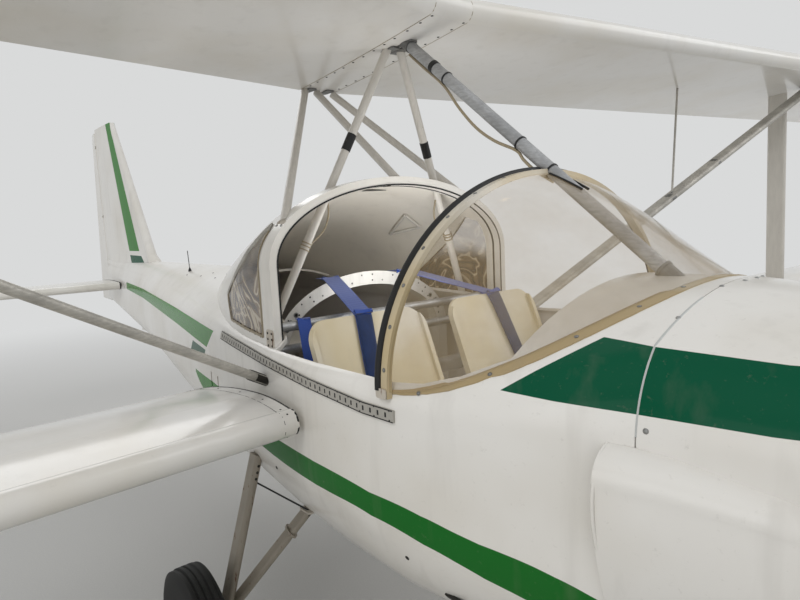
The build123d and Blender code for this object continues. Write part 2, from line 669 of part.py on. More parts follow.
def window_prism(grow):
    outline = make_face(Polyline(*WINDOW_CORNERS, WINDOW_CORNERS[0]))
    if grow:
        outline = offset(outline, grow)
    return extrude(Plane.XZ * outline, CROSS, both=True)


def roof_shell():
    shell = roof_loft(0) - roof_loft(ROOF_WALL) - hull_raised - window_prism(0)
    for leg in both_sides(tube(CABANE_TOP, CABANE_FOOT, CABANE_RADIUS + 4)):
        shell -= leg
    return Pos(-SEAT, 0, 0) * shell


def quarter_windows():
    skin = roof_loft(1) - roof_loft(1 + PANE)
    return Pos(-SEAT, 0, 0) * (skin & window_prism(-PANE_GAP))


# Nose

def cheek(inset):
    """Outlet's shape from a short top arc and a long lower arc at each station."""
    faces = []
    for x, root, top, bulge, height, tuck in CHEEK_SECTIONS:
        side, high, low = root + bulge - inset, top - inset, top - height + inset
        shoulder = (side, high - 0.19 * height)
        inside = root - (CHEEK_OPEN if inset else CHEEK_ROOT)
        lines = [
            ThreePointArc((root, high), (root + 0.68 * (side - root), high - 0.05 * height), shoulder),
            ThreePointArc(shoulder, (root + 0.64 * (side - root), high - 0.6 * height), (root - tuck, low)),
            Polyline((root - tuck, low), (inside - tuck, low), (inside, high), (root, high)),
        ]
        ahead = 10 if inset and not faces else 0
        faces.append(Plane.YZ.offset(x - ahead) * make_face(Curve() + lines))
    return loft(faces, ruled=True)


def cowling():
    """Nose shell with two air intakes in front and an outlet on each side."""
    shell = body_loft(COWL_SECTIONS) - body_loft(COWL_SECTIONS, COWL_WALL)
    shell += extrude(body_section(COWL_SECTIONS[-1]), -COWL_WALL)
    along = Rot(0, 90, 0)
    for bulge, hollow in zip(both_sides(cheek(0)), both_sides(cheek(CHEEK_WALL))):
        shell = shell + bulge - hollow
    shell -= Pos(COWL_NOSE_X, 0, THRUST_Z) * along * Cylinder(SHAFT_HOLE_RADIUS, 90)
    for side in (1, -1):
        shell -= Pos(COWL_NOSE_X, side * INTAKE_Y, INTAKE_Z) * along * Cylinder(INTAKE_RADIUS, 90)
    shell -= Pos(NOSE_X, 0, 560) * Box(150, 130, 160)
    return Pos(SEAT, 0, 0) * shell - hull_grown


def spinner():
    tip, base = SPINNER_TIP_X, SPINNER_BACK_X
    rim = (base, SPINNER_RADIUS)
    side = [Line((base, 0), rim), TangentArc(rim, (tip, 0), tangent=(1, 0.12))]
    profile = make_face(Curve() + side + [Line((tip, 0), (base, 0))])
    cone = Pos(0, 0, THRUST_Z) * revolve(Plane.XZ * profile, Axis.X)
    along = Rot(0, 90, 0)
    core = along * Cylinder(SPINNER_RADIUS - SPINNER_WALL, tip - base - 100, align=BASE)
    core = Pos(base + THIN, 0, THRUST_Z) * core
    holes = Pos(PROP_X, 0, THRUST_Z) * Rot(90, 0, 0) * Cylinder(BLADE_HOLE_RADIUS, 4 * SPINNER_RADIUS)
    holes += Pos(base, 0, THRUST_Z) * along * Cylinder(SHAFT_RADIUS + SEAT, 20)
    return cone - core - holes


def propeller():
    """Two blades on a round hub, with the shaft that runs back into the gearbox."""
    along = Pos(0, 0, THRUST_Z) * Rot(0, 90, 0)
    hub = Pos(PROP_X - HUB_LENGTH / 2, 0, 0) * along * Cylinder(HUB_RADIUS, HUB_LENGTH, align=BASE)
    shaft = Pos(GEARBOX_X - 40, 0, 0) * along * Cylinder(SHAFT_RADIUS, PROP_X - GEARBOX_X, align=BASE)
    faces = []
    for y, chord, thick, twist in BLADE_SECTIONS:
        tilt = radians(twist)
        plane = Plane((PROP_X, y, THRUST_Z), x_dir=(sin(tilt), 0, cos(tilt)), z_dir=(0, 1, 0))
        faces.append(plane * Ellipse(chord / 2, thick / 2))
    blade = loft(faces)
    opposite = Pos(PROP_X, 0, THRUST_Z) * Rot(180, 0, 0) * Pos(-PROP_X, 0, -THRUST_Z) * blade
    return hub + shaft + blade + opposite


def engine():
    """Plain block for the closed engine, with four mount stubs and the boss that carries the shaft."""
    along = Rot(0, 90, 0)
    block = Pos(*ENGINE_MIDDLE) * Box(*ENGINE_SIZE)
    boss = Pos(BOSS_X, 0, THRUST_Z) * along * Cylinder(BOSS_RADIUS, GEARBOX_X - BOSS_X, align=BASE)
    bore = Pos(GEARBOX_X - 45, 0, THRUST_Z) * along * Cylinder(SHAFT_RADIUS + PIN_PLAY, 60, align=BASE)
    for y, z in MOUNT_STUBS:
        block += Pos(FIREWALL_FRONT, y, z) * along * Cylinder(MOUNT_STUB_RADIUS, 60, align=BASE)
    return block + boss - bore


def firewall():
    return Pos(SEAT - LIP, 0, 0) * extrude(body_section(BODY_SECTIONS[0], COWL_WALL + 1.5), THIN)


# Undercarriage

def wheel(radius, width, y, x):
    """Tyre with round shoulders, and a hub with a bore for the axle."""
    across = Pos(x, y, radius) * Rot(90, 0, 0)
    tyre = fillet(Cylinder(radius, width).edges(), width * 0.3) - Cylinder(radius * RIM_SHARE, width)
    hub = Cylinder(radius * RIM_SHARE - SEAT, width * 0.72) - Cylinder(AXLE_RADIUS + PIN_PLAY, width)
    return across * tyre, across * hub


def main_gear():
    """Port side: two flattened legs from the body's lower corner to the stub axle."""
    joint_y = MAIN_TRACK_HALF - GEAR_JOINT_IN
    joint = (AXLE_X, joint_y, AXLE_Z)
    fore = streamlined(GEAR_FORE_ROOT, joint, 46, 24)
    side = streamlined(GEAR_SIDE_ROOT, joint, 62, 26)
    block = Pos(*joint) * Box(70, 40, 60)
    axle_end = MAIN_TRACK_HALF + MAIN_WIDTH / 2 + 8
    axle = tube((AXLE_X, joint_y - 10, AXLE_Z), (AXLE_X, axle_end, AXLE_Z), AXLE_RADIUS)
    return (fore + side - (Pos(0, 0, -SEAT) * hull_outer)) + block + axle


def nose_leg():
    """Upright column on an arm from the firewall, bored for the fork's stem."""
    column = Pos(NOSE_X, 0, COLUMN_FOOT_Z) * Cylinder(COLUMN_RADIUS, COLUMN_TALL, align=BASE)
    column -= Pos(NOSE_X, 0, COLUMN_FOOT_Z) * Cylinder(STEM_RADIUS + PIN_PLAY, COLUMN_TALL, align=BASE)
    reach = NOSE_X - FIREWALL_FRONT - 20
    arm = Box(reach, ARM_WIDTH, ARM_TALL, align=(Align.MIN, Align.CENTER, Align.CENTER))
    return column + Pos(FIREWALL_FRONT, 0, ARM_Z) * arm


def nose_fork():
    """Stem, crown and two legs, with the axle's thin ends standing out as pins for a tow bar."""
    crown_z = CROWN_TOP_Z - CROWN_TALL / 2
    middle = NOSE_WIDTH / 2 + FORK_HALF
    outer = middle + FORK_LEG / 2
    fork = Pos(NOSE_X, 0, crown_z) * Cylinder(STEM_RADIUS, STEM_TOP_Z - crown_z, align=BASE)
    fork += Pos(NOSE_X, 0, crown_z) * Box(60, 2 * outer + 8, CROWN_TALL, align=BASE)
    leg = Box(36, FORK_LEG, CROWN_TOP_Z - NOSE_RADIUS + 22, align=(Align.CENTER, Align.CENTER, Align.MAX))
    for side in (1, -1):
        fork += Pos(NOSE_X, side * middle, CROWN_TOP_Z) * leg
    axle = Cylinder(AXLE_RADIUS, 2 * outer) + Cylinder(TOW_PIN_RADIUS, 2 * (outer + TOW_PIN_LENGTH))
    return fork + Pos(NOSE_X, 0, NOSE_RADIUS) * Rot(90, 0, 0) * axle


# Cabin fittings

def seat():
    """One-piece bucket: a back that leans aft and a pan, with raised edges and round top corners."""
    def slab(rise, y, half):
        front = [(x + rise * 0.8, z + rise * 0.6) for x, z in SEAT_FRONT[:-1]]
        outline = front + [SEAT_FRONT[-1]] + SEAT_REAR
        return Pos(0, y, 0) * extrude(Plane.XZ * make_face(Polyline(*outline, outline[0])), half, both=True)

    shell = slab(0, 0, SEAT_HALF)
    for side in (1, -1):
        shell += slab(SEAT_EDGE_RISE, side * (SEAT_HALF - SEAT_EDGE / 2), SEAT_EDGE / 2)
    face = Pos(0, SEAT_TOP_Z - 2 * SEAT_HALF) * Rectangle(2 * SEAT_HALF, 4 * SEAT_HALF)
    face = fillet(face.vertices().group_by(Axis.Y)[-1], SEAT_CORNER)
    return Pos(0, SEAT_Y, 0) * (shell & extrude(Plane.YZ * face, CROSS))


def strap(rows):
    """Flat webbing that follows points on its middle line."""
    faces = []
    for i, (x, y, z, width) in enumerate(rows):
        before, after = rows[max(i - 1, 0)], rows[min(i + 1, len(rows) - 1)]
        run = Vector(after[0] - before[0], 0, after[2] - before[2]).normalized()
        plane = Plane((x, y, z), x_dir=(0, 1, 0), z_dir=run)
        faces.append(plane * Rectangle(width, WEBBING))
    return loft(faces, ruled=True)


def harness():
    """Shoulder strap over the seat's back and a side strap from the tube between the arch's legs."""
    return [strap(SHOULDER_STRAP), strap(SIDE_STRAP)]


def bulkhead():
    """Sheet ring behind the seats with its inner edge bent aft."""
    def frame(x, inset, length):
        face = arch_section(x, BULKHEAD_HALF - inset, FLOOR_Z + 10, BULKHEAD_SPRING_Z, BULKHEAD_RISE - inset)
        return extrude(face, length)
    sheet = frame(BULKHEAD_X, 0, SHEET)
    lip = frame(BULKHEAD_X - BULKHEAD_DEPTH, BULKHEAD_WIDTH - SHEET, BULKHEAD_DEPTH)
    hole = frame(BULKHEAD_X - 2 * BULKHEAD_DEPTH, BULKHEAD_WIDTH, 3 * BULKHEAD_DEPTH)
    return (sheet + lip - hole) & cabin_room


def parcel_shelf():
    board = Box(SHELF_LENGTH, CROSS, SHEET, align=(Align.MAX, Align.CENTER, Align.CENTER))
    return Pos(SHELF_X, 0, SHELF_Z) * board & cabin_space


def cabin_floor():
    board = Box(FLOOR_LENGTH, CROSS, THIN, align=(Align.MIN, Align.CENTER, Align.CENTER))
    return Pos(FLOOR_X, 0, FLOOR_Z) * board & cabin_space


def instrument_panel():
    plate = Pos(PANEL_X, 0, SILL_Z) * Box(THIN, CROSS, 320)
    for y in (-SEAT_Y, SEAT_Y):
        plate -= Pos(PANEL_X, y, KNEE_HOLE_Z) * Rot(0, 90, 0) * Cylinder(KNEE_HOLE_RADIUS, 4 * THIN)
    return plate & cabin_space


def control_stick():
    foot = Pos(STICK_FOOT[0], 0, FLOOR_Z + THIN / 2 + SEAT) * Cylinder(34, 30, align=BASE)
    return foot + tube(STICK_FOOT, STICK_BEND, STICK_RADIUS) + tube(STICK_BEND, STICK_TOP, GRIP_RADIUS)


def rudder_pedals():
    """Two pairs of hanging pedals on one tube across the nose."""
    bar = Rot(90, 0, 0) * Cylinder(PEDAL_BAR_RADIUS, CROSS)
    pedals = Pos(PEDAL_BAR_X, 0, PEDAL_BAR_Z) * bar & cabin_space
    arm = Box(8, 14, PEDAL_DROP + 10, align=(Align.CENTER, Align.CENTER, Align.MAX))
    for y in PEDAL_PLACES:
        pedals += Pos(PEDAL_BAR_X - 4, y, PEDAL_BAR_Z) * arm
        pedals += Pos(PEDAL_BAR_X - 10, y, PEDAL_BAR_Z - PEDAL_DROP) * Box(8, 84, 70)
    return pedals


def cross_tubes():
    """Tube between the arch's legs, and three between the cabin's walls."""
    across = Rot(90, 0, 0)
    long = Cylinder(TUBE_RADIUS, CROSS)
    arch_tube = Pos(0, 0, ARCH_TUBE_Z) * across * Cylinder(TUBE_RADIUS, 2 * (ARCH_HALF - ARCH_DEPTH - SEAT))
    return [arch_tube] + [Pos(x, 0, z) * across * long & cabin_space for x, z in CROSS_TUBES]


def door_rails():
    """Raised strips that carried the sliding doors, along both sides under the sill."""
    skin = body_loft(BODY_SECTIONS[2:10], -RAIL_DEPTH) - body_loft(BODY_SECTIONS[1:11], -SEAT)
    return Pos(RAIL_X, 0, RAIL_Z) * Rot(0, RAIL_SLOPE, 0) * Box(RAIL_LENGTH, CROSS, RAIL_TALL) & skin


os.makedirs("parts", exist_ok=True)
hull_outer = body_loft(BODY_SECTIONS)
hull_raised = Pos(0, 0, SEAT) * hull_outer
hull_grown = body_loft(BODY_SECTIONS, -SEAT)
cabin_space = body_loft(BODY_SECTIONS[:-1], WALL + SEAT)
cabin_room = cabin_space + scale(cockpit_cut(), (0.998, 0.99, 1))
wing = upper_panel()
wing_lowered = Pos(0, 0, -SEAT) * wing
centre = upper_centre()
centre_lowered = Pos(0, 0, -SEAT) * (centre + wing + mirror(wing, about=Plane.XZ))


save_pair("upper_wing", wing)
save("upper_wing_centre", centre)
save_pair("lower_wing", lower_wing())
strut = lift_strut()
save_pair("lift_strut", strut)
save_pair("bay_strut", bay_strut())
save("jury_struts", *both_sides(jury_strut(strut)))
save("cabane_front", *cabane_front())
save("cabane_rear", *cabane_rear())
save("windshield_brace", windshield_brace())
save("carry_through_tube", carry_through())
save("fuselage_hull", fuselage())
save("fin", fin())
save("rudder", rudder())
save_pair("tailplane", tailplane())
save("tailplane_tube", tail_tube())
save("windshield_hoop", *windshield_hoop())
for builder in (ventral_fin, windshield, windshield_flange, rear_arch, roof_shell, quarter_windows,
                cowling, spinner, propeller, firewall, nose_leg, nose_fork, bulkhead, parcel_shelf,
                cabin_floor, instrument_panel, control_stick, rudder_pedals, door_rails):
    save(builder.__name__, builder())
save("engine_block", engine())
save("cross_tubes", *cross_tubes())
for name, s in (("left", 1), ("right", -1)):
    tyre, hub = wheel(MAIN_RADIUS, MAIN_WIDTH, s * MAIN_TRACK_HALF, AXLE_X)
    save(f"main_tyre_{name}", tyre)
    save(f"main_hub_{name}", hub)
tyre, hub = wheel(NOSE_RADIUS, NOSE_WIDTH, 0, NOSE_X)
save("nose_tyre", tyre)
save("nose_hub", hub)
save_pair("main_gear_leg", main_gear())
save_pair("seat", seat())
for name, shapes in zip(("left", "right"), zip(*[both_sides(s) for s in harness()])):
    save(f"harness_{name}", *shapes)
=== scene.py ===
import logging
import math
from dataclasses import dataclass
from enum import Enum
from typing import Dict, Iterable, List, Optional, Sequence, Tuple

import bmesh
import bpy
from bpy.types import ID, Material, Mesh, Node, NodeSocket, NodeTree, Object
from mathutils import Matrix, Vector
from mathutils.bvhtree import BVHTree


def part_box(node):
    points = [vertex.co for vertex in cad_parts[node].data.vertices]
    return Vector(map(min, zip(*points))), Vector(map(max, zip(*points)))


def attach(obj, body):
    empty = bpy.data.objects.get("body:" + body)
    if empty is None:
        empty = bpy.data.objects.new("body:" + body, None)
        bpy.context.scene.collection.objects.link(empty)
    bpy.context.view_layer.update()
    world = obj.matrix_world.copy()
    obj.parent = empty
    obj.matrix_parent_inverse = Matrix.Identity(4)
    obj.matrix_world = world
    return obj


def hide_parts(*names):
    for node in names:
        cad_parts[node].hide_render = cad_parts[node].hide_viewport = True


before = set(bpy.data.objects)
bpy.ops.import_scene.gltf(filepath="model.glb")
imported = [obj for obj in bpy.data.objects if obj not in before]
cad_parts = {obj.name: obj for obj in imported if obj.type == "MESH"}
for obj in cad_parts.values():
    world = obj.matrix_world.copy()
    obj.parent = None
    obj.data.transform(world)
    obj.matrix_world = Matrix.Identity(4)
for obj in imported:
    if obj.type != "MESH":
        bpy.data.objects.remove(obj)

# Looks of the parked two-seat biplane microlight. Stations in millimetres run from the rear arch of
# the cabin, +X forward, +Y to port, +Z up, and st() turns them into the frame's metres.

LOG = logging.getLogger("microlight")
MM = 1000.0    # millimetres in a metre
SHIFT = 1.035    # place of the rear arch ahead of the origin, in metres
SIDES = (1, -1)    # port, starboard
HANDS = ("left", "right")
BACKDROP = "#D9DADA"
Place = Tuple[float, float]
Places = Tuple[Place, ...]
Point = Tuple[float, float, float]
StrapRow = Tuple[float, float, float, float]
Face = Tuple[int, ...]
Spot = Tuple[Vector, Vector]
Shape = Tuple[List[Vector], List[Face]]
AHEAD, AFT = Vector((1, 0, 0)), Vector((-1, 0, 0))
PORT = Vector((0, 1, 0))
UP, DOWN = Vector((0, 0, 1)), Vector((0, 0, -1))
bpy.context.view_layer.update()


def st(x: float, y: float, z: float) -> Vector:
    """Station millimetres to a point in the frame, in metres."""
    return Vector((x / MM + SHIFT, y / MM, z / MM))


def linear(colour: str) -> Tuple[float, float, float, float]:
    """Turns an sRGB colour into a linear one.

    Args:
        colour: Hex value, as #RRGGBB.

    Returns:
        Linear red, green and blue, with alpha 1.
    """
    parts = [int(colour[i:i + 2], 16) / 255 for i in (1, 3, 5)]
    red, green, blue = [c / 12.92 if c <= 0.04045 else ((c + 0.055) / 1.055) ** 2.4 for c in parts]
    return (red, green, blue, 1.0)


def per_mm(size: float) -> float:
    """Texture scale at which one pattern cell measures this many millimetres."""
    return MM / size


def feed(tree: NodeTree, node: Node, inputs: dict) -> None:
    """Gives a node's inputs their values or links.

    Args:
        tree: The node tree.
        node: The node.
        inputs: Values or sockets, by input name or index.
    """
    for key, value in inputs.items():
        if isinstance(value, NodeSocket):
            tree.links.new(value, node.inputs[key])
        else:
            node.inputs[key].default_value = value


def add(tree: NodeTree, kind: str, inputs: Optional[dict] = None, **settings: object) -> Node:
    """Adds one node.

    Args:
        tree: The node tree that gets it.
        kind: The node's type name.
        inputs: Values or sockets, by input name or index.
        settings: Properties of the node.

    Returns:
        The new node.
    """
    made = tree.nodes.new(kind)
    for key, value in settings.items():
        setattr(made, key, value)
    feed(tree, made, inputs or {})
    return made


# Finishes

@dataclass(frozen=True)
class Mark:
    """A painted field seen from the side: a convex polygon of station and height, and its colour."""
    corners: Places
    colour: str


@dataclass(frozen=True)
class Finish:
    """What a surface is made of, with the typical colour, roughness and metal share of the real one."""
    name: str
    colour: str
    roughness: float
    metallic: float = 0.0

    def material(self) -> Material:
        """Builds the material once.

        Returns:
            The material.
        """
        found = bpy.data.materials.get(self.name)
        if found:
            return found
        made = bpy.data.materials.new(self.name)
        made.use_nodes = True
        tree = made.node_tree
        tree.nodes.clear()
        place = add(tree, "ShaderNodeTexCoord").outputs["Object"]
        shader = add(tree, "ShaderNodeBsdfPrincipled", {
            "Base Color": linear(self.colour), "Roughness": self.roughness, "Metallic": self.metallic})
        add(tree, "ShaderNodeOutputMaterial", {"Surface": shader.outputs[0]})
        self.paint(tree, place, shader)
        made.diffuse_color = linear(self.colour)
        return made

    def darker(self, share: float) -> List[float]:
        """The finish's linear colour, with its light cut to a share."""
        return [c * share for c in linear(self.colour)[:3]] + [1.0]

    def paint(self, tree: NodeTree, place: NodeSocket, shader: Node) -> None:
        """Adds colour, roughness and bump patterns; a plain finish has a fine mottle only.

        Args:
            tree: The material's nodes.
            place: Object coordinates.
            shader: The shader that gets the patterns.
        """
        grain = add(tree, "ShaderNodeTexNoise", {"Vector": place, "Scale": per_mm(6), "Detail": 4.0})
        tint = add(tree, "ShaderNodeMix", {0: grain.outputs[0], 6: linear(self.colour), 7: self.darker(0.82)},
                   data_type="RGBA")
        bump = add(tree, "ShaderNodeBump", {"Height": grain.outputs[0], "Strength": 0.15, "Distance": 0.0004})
        feed(tree, shader, {"Base Color": tint.outputs[2], "Normal": bump.outputs[0]})


@dataclass(frozen=True)
class Band:
    """A painted stripe seen from the side, between two smooth edges. Rows: station, lower, upper edge."""
    rows: Tuple[Point, ...]
    colour: str


EDGE = 0.0003    # half the blurred width of a painted edge, in metres


def edge_height(tree: NodeTree, along: NodeSocket, rows: Sequence[Place],
                low: float, high: float) -> NodeSocket:
    """Height of a stripe's edge over its length, in metres.

    Args:
        tree: The material's nodes.
        along: Share of the stripe's length, 0 to 1.
        rows: Share and height in millimetres of each point of the edge.
        low: Lowest height of the scale.
        high: Highest height of the scale.

    Returns:
        The height's socket.
    """
    curve = add(tree, "ShaderNodeFloatCurve", {"Value": along})
    line = curve.mapping.curves[0]
    for spot, (share, height) in zip((line.points[0], line.points[1]), (rows[0], rows[-1])):
        spot.location = (share, (height - low) / (high - low))
    for share, height in rows[1:-1]:
        line.points.new(share, (height - low) / (high - low))
    curve.mapping.update()
    return add(tree, "ShaderNodeMapRange", {0: curve.outputs[0], 3: low / MM, 4: high / MM}).outputs[0]


def band_mask(tree: NodeTree, place: NodeSocket, band: Band) -> NodeSocket:
    """Mask that is 1 inside a stripe and 0 outside.

    Args:
        tree: The material's nodes.
        place: Object coordinates.
        band: The stripe.

    Returns:
        The mask's socket.
    """
    first, last = band.rows[0][0], band.rows[-1][0]
    low = min(row[1] for row in band.rows)
    high = max(row[2] for row in band.rows)
    axes = add(tree, "ShaderNodeSeparateXYZ", {0: place})
    rear, front = st(first, 0, 0).x, st(last, 0, 0).x
    along = add(tree, "ShaderNodeMapRange", {0: axes.outputs[0], 1: rear, 2: front})
    shares = [(x - first) / (last - first) for x, _, _ in band.rows]
    under, over = [edge_height(tree, along.outputs[0], [(s, row[k]) for s, row in zip(shares, band.rows)],
                               low, high) for k in (1, 2)]
    above = add(tree, "ShaderNodeMath", {0: axes.outputs[2], 1: under}, operation="SUBTRACT")
    below = add(tree, "ShaderNodeMath", {0: over, 1: axes.outputs[2]}, operation="SUBTRACT")
    inside = add(tree, "ShaderNodeMath", {0: above.outputs[0], 1: below.outputs[0]}, operation="MINIMUM")
    mask = add(tree, "ShaderNodeMapRange", {0: inside.outputs[0], 1: -EDGE, 2: EDGE}).outputs[0]
    for end, test in ((rear, "GREATER_THAN"), (front, "LESS_THAN")):
        within = add(tree, "ShaderNodeMath", {0: axes.outputs[0], 1: end}, operation=test)
        mask = add(tree, "ShaderNodeMath", {0: mask, 1: within.outputs[0]}, operation="MULTIPLY").outputs[0]
    return mask


def field_mask(tree: NodeTree, place: NodeSocket, mark: Mark) -> NodeSocket:
    """Mask of a painted field, from the distances to its edges.

    Args:
        tree: The material's nodes.
        place: Object coordinates.
        mark: The field, its corners anticlockwise with station to the right and height up.

    Returns:
        A socket that is 1 inside the field and 0 outside.
    """
    inside = None
    corners = mark.corners
    for (ax, az), (bx, bz) in zip(corners, corners[1:] + corners[:1]):
        run = math.hypot(bx - ax, bz - az)
        nx, nz = -(bz - az) / run, (bx - ax) / run
        start = st(ax, 0, az)
        reach = add(tree, "ShaderNodeVectorMath", {0: place, 1: (nx, 0, nz)}, operation="DOT_PRODUCT")
        depth = add(tree, "ShaderNodeMath", {0: reach.outputs[1], 1: nx * start.x + nz * start.z},
                    operation="SUBTRACT").outputs[0]
        if inside is None:
            inside = depth
        else:
            inside = add(tree, "ShaderNodeMath", {0: inside, 1: depth}, operation="MINIMUM").outputs[0]
    return add(tree, "ShaderNodeMapRange", {0: inside, 1: -EDGE, 2: EDGE}).outputs[0]


@dataclass(frozen=True)
class Gelcoat(Finish):
    """Moulded polyester: glossy ivory white, faintly wavy, with dust streaks and painted fields."""
    marks: Tuple[Mark, ...] = ()
    bands: Tuple[Band, ...] = ()
    dirt: float = 0.35

    def paint(self, tree: NodeTree, place: NodeSocket, shader: Node) -> None:
        """Ivory with warm patches, fields of paint, grime in specks, orange peel in the gloss.

        Args:
            tree: The material's nodes.
            place: Object coordinates.
            shader: The shader that gets the patterns.
        """
        wide = add(tree, "ShaderNodeTexNoise", {"Vector": place, "Scale": per_mm(420), "Detail": 3.0})
        warm = add(tree, "ShaderNodeMapRange", {0: wide.outputs[0], 1: 0.42, 2: 0.72})
        colour = add(tree, "ShaderNodeMix", {0: warm.outputs[0], 6: linear(self.colour), 7: linear("#DCD7CD")},
                     data_type="RGBA").outputs[2]
        masks = [(field_mask(tree, place, mark), mark.colour) for mark in self.marks]
        masks += [(band_mask(tree, place, band), band.colour) for band in self.bands]
        painted: Optional[NodeSocket] = None
        for mask, paint in masks:
            colour = add(tree, "ShaderNodeMix", {0: mask, 6: colour, 7: linear(paint)},
                         data_type="RGBA").outputs[2]
            painted = mask if painted is None else add(tree, "ShaderNodeMath", {0: painted, 1: mask},
                                                       operation="MAXIMUM").outputs[0]
        speck = add(tree, "ShaderNodeTexNoise", {"Vector": place, "Scale": per_mm(14), "Detail": 8.0,
                                                 "Roughness": 0.72})
        grime = add(tree, "ShaderNodeMapRange", {0: speck.outputs[0], 1: 0.6, 2: 0.84, 4: self.dirt})
        streak_place = add(tree, "ShaderNodeMapping", {0: place, 3: (1.0, 1.0, 0.12)})
        streak = add(tree, "ShaderNodeTexNoise", {"Vector": streak_place.outputs[0], "Scale": per_mm(60),
                                                  "Detail": 5.0})
        film = add(tree, "ShaderNodeMapRange", {0: streak.outputs[0], 1: 0.55, 2: 0.8, 4: self.dirt * 0.5})
        soil = add(tree, "ShaderNodeMath", {0: grime.outputs[0], 1: film.outputs[0]}, operation="MAXIMUM")
        dull = add(tree, "ShaderNodeMix", {0: soil.outputs[0], 6: colour, 7: linear("#8E877B")},
                   data_type="RGBA")
        rough = add(tree, "ShaderNodeMapRange", {0: soil.outputs[0], 3: self.roughness, 4: self.roughness + 0.3})
        peel = add(tree, "ShaderNodeTexNoise", {"Vector": place, "Scale": per_mm(38), "Detail": 1.0})
        bump = add(tree, "ShaderNodeBump", {"Height": peel.outputs[0], "Strength": 0.22, "Distance": 0.0006})
        if painted is not None:
            shine = add(tree, "ShaderNodeMapRange", {0: painted, 3: 0.3, 4: 0.06})
            tree.links.new(shine.outputs[0], shader.inputs["Specular IOR Level"])
        feed(tree, shader, {"Base Color": dull.outputs[2], "Roughness": rough.outputs[0],
                            "Normal": bump.outputs[0], "Specular IOR Level": 0.3, "Coat Weight": 0.1,
                            "Coat Roughness": 0.06})


@dataclass(frozen=True)
class WornPaint(Finish):
    """Brushed enamel on steel tube: chips down to rust."""
    rust: float = 0.3

    def paint(self, tree: NodeTree, place: NodeSocket, shader: Node) -> None:
        """Paint with long streaks, rust in ragged chips, and the chips lower than the paint.

        Args:
            tree: The material's nodes.
            place: Object coordinates.
            shader: The shader that gets the patterns.
        """
        streak_place = add(tree, "ShaderNodeMapping", {0: place, 3: (1.0, 1.0, 0.2)})
        streak = add(tree, "ShaderNodeTexNoise", {"Vector": streak_place.outputs[0], "Scale": per_mm(22),
                                                  "Detail": 6.0, "Roughness": 0.6})
        shade = add(tree, "ShaderNodeMix", {0: streak.outputs[0], 6: linear(self.colour), 7: self.darker(0.7)},
                    data_type="RGBA")
        chips = add(tree, "ShaderNodeTexNoise", {"Vector": streak_place.outputs[0], "Scale": per_mm(16),
                                                 "Detail": 9.0, "Roughness": 0.68})
        edge = 0.72 - 0.25 * self.rust
        mask = add(tree, "ShaderNodeMapRange", {0: chips.outputs[0], 1: edge, 2: edge + 0.05})
        fine = add(tree, "ShaderNodeTexNoise", {"Vector": place, "Scale": per_mm(3), "Detail": 5.0})
        iron = add(tree, "ShaderNodeMix", {0: fine.outputs[0], 6: linear("#7A4A2A"), 7: linear("#3E2A1E")},
                   data_type="RGBA")
        both = add(tree, "ShaderNodeMix", {0: mask.outputs[0], 6: shade.outputs[2], 7: iron.outputs[2]},
                   data_type="RGBA")
        rough = add(tree, "ShaderNodeMapRange", {0: mask.outputs[0], 3: self.roughness, 4: 0.85})
        level = add(tree, "ShaderNodeMath", {0: 1.0, 1: mask.outputs[0]}, operation="SUBTRACT")
        bump = add(tree, "ShaderNodeBump", {"Height": level.outputs[0], "Strength": 0.5, "Distance": 0.0005})
        feed(tree, shader, {"Base Color": both.outputs[2], "Roughness": rough.outputs[0],
                            "Normal": bump.outputs[0]})


@dataclass(frozen=True)
class Metal(Finish):
    """Drawn or cast metal: fine scratches, cloudy oxide and a satin sheen."""
    stretch: Point = (0.06, 1.0, 1.0)

    def paint(self, tree: NodeTree, place: NodeSocket, shader: Node) -> None:
        """Brightness and roughness vary with drawing lines along the stretched axis.

        Args:
            tree: The material's nodes.
            place: Object coordinates.
            shader: The shader that gets the patterns.
        """
        lines_place = add(tree, "ShaderNodeMapping", {0: place, 3: self.stretch})
        lines = add(tree, "ShaderNodeTexNoise", {"Vector": lines_place.outputs[0], "Scale": per_mm(5),
                                                 "Detail": 6.0, "Roughness": 0.65})
        cloud = add(tree, "ShaderNodeTexNoise", {"Vector": place, "Scale": per_mm(70), "Detail": 4.0})
        both = add(tree, "ShaderNodeMath", {0: lines.outputs[0], 1: cloud.outputs[0]}, operation="MULTIPLY")
        dull = add(tree, "ShaderNodeMapRange", {0: both.outputs[0], 1: 0.15, 2: 0.45})
        colour = add(tree, "ShaderNodeMix", {0: dull.outputs[0], 6: self.darker(0.6), 7: linear(self.colour)},
                     data_type="RGBA")
        rough = add(tree, "ShaderNodeMapRange", {0: both.outputs[0], 1: 0.15, 2: 0.45, 3: self.roughness + 0.2,
                                                 4: self.roughness})
        bump = add(tree, "ShaderNodeBump", {"Height": lines.outputs[0], "Strength": 0.12, "Distance": 0.0003})
        feed(tree, shader, {"Base Color": colour.outputs[2], "Roughness": rough.outputs[0],
                            "Normal": bump.outputs[0]})


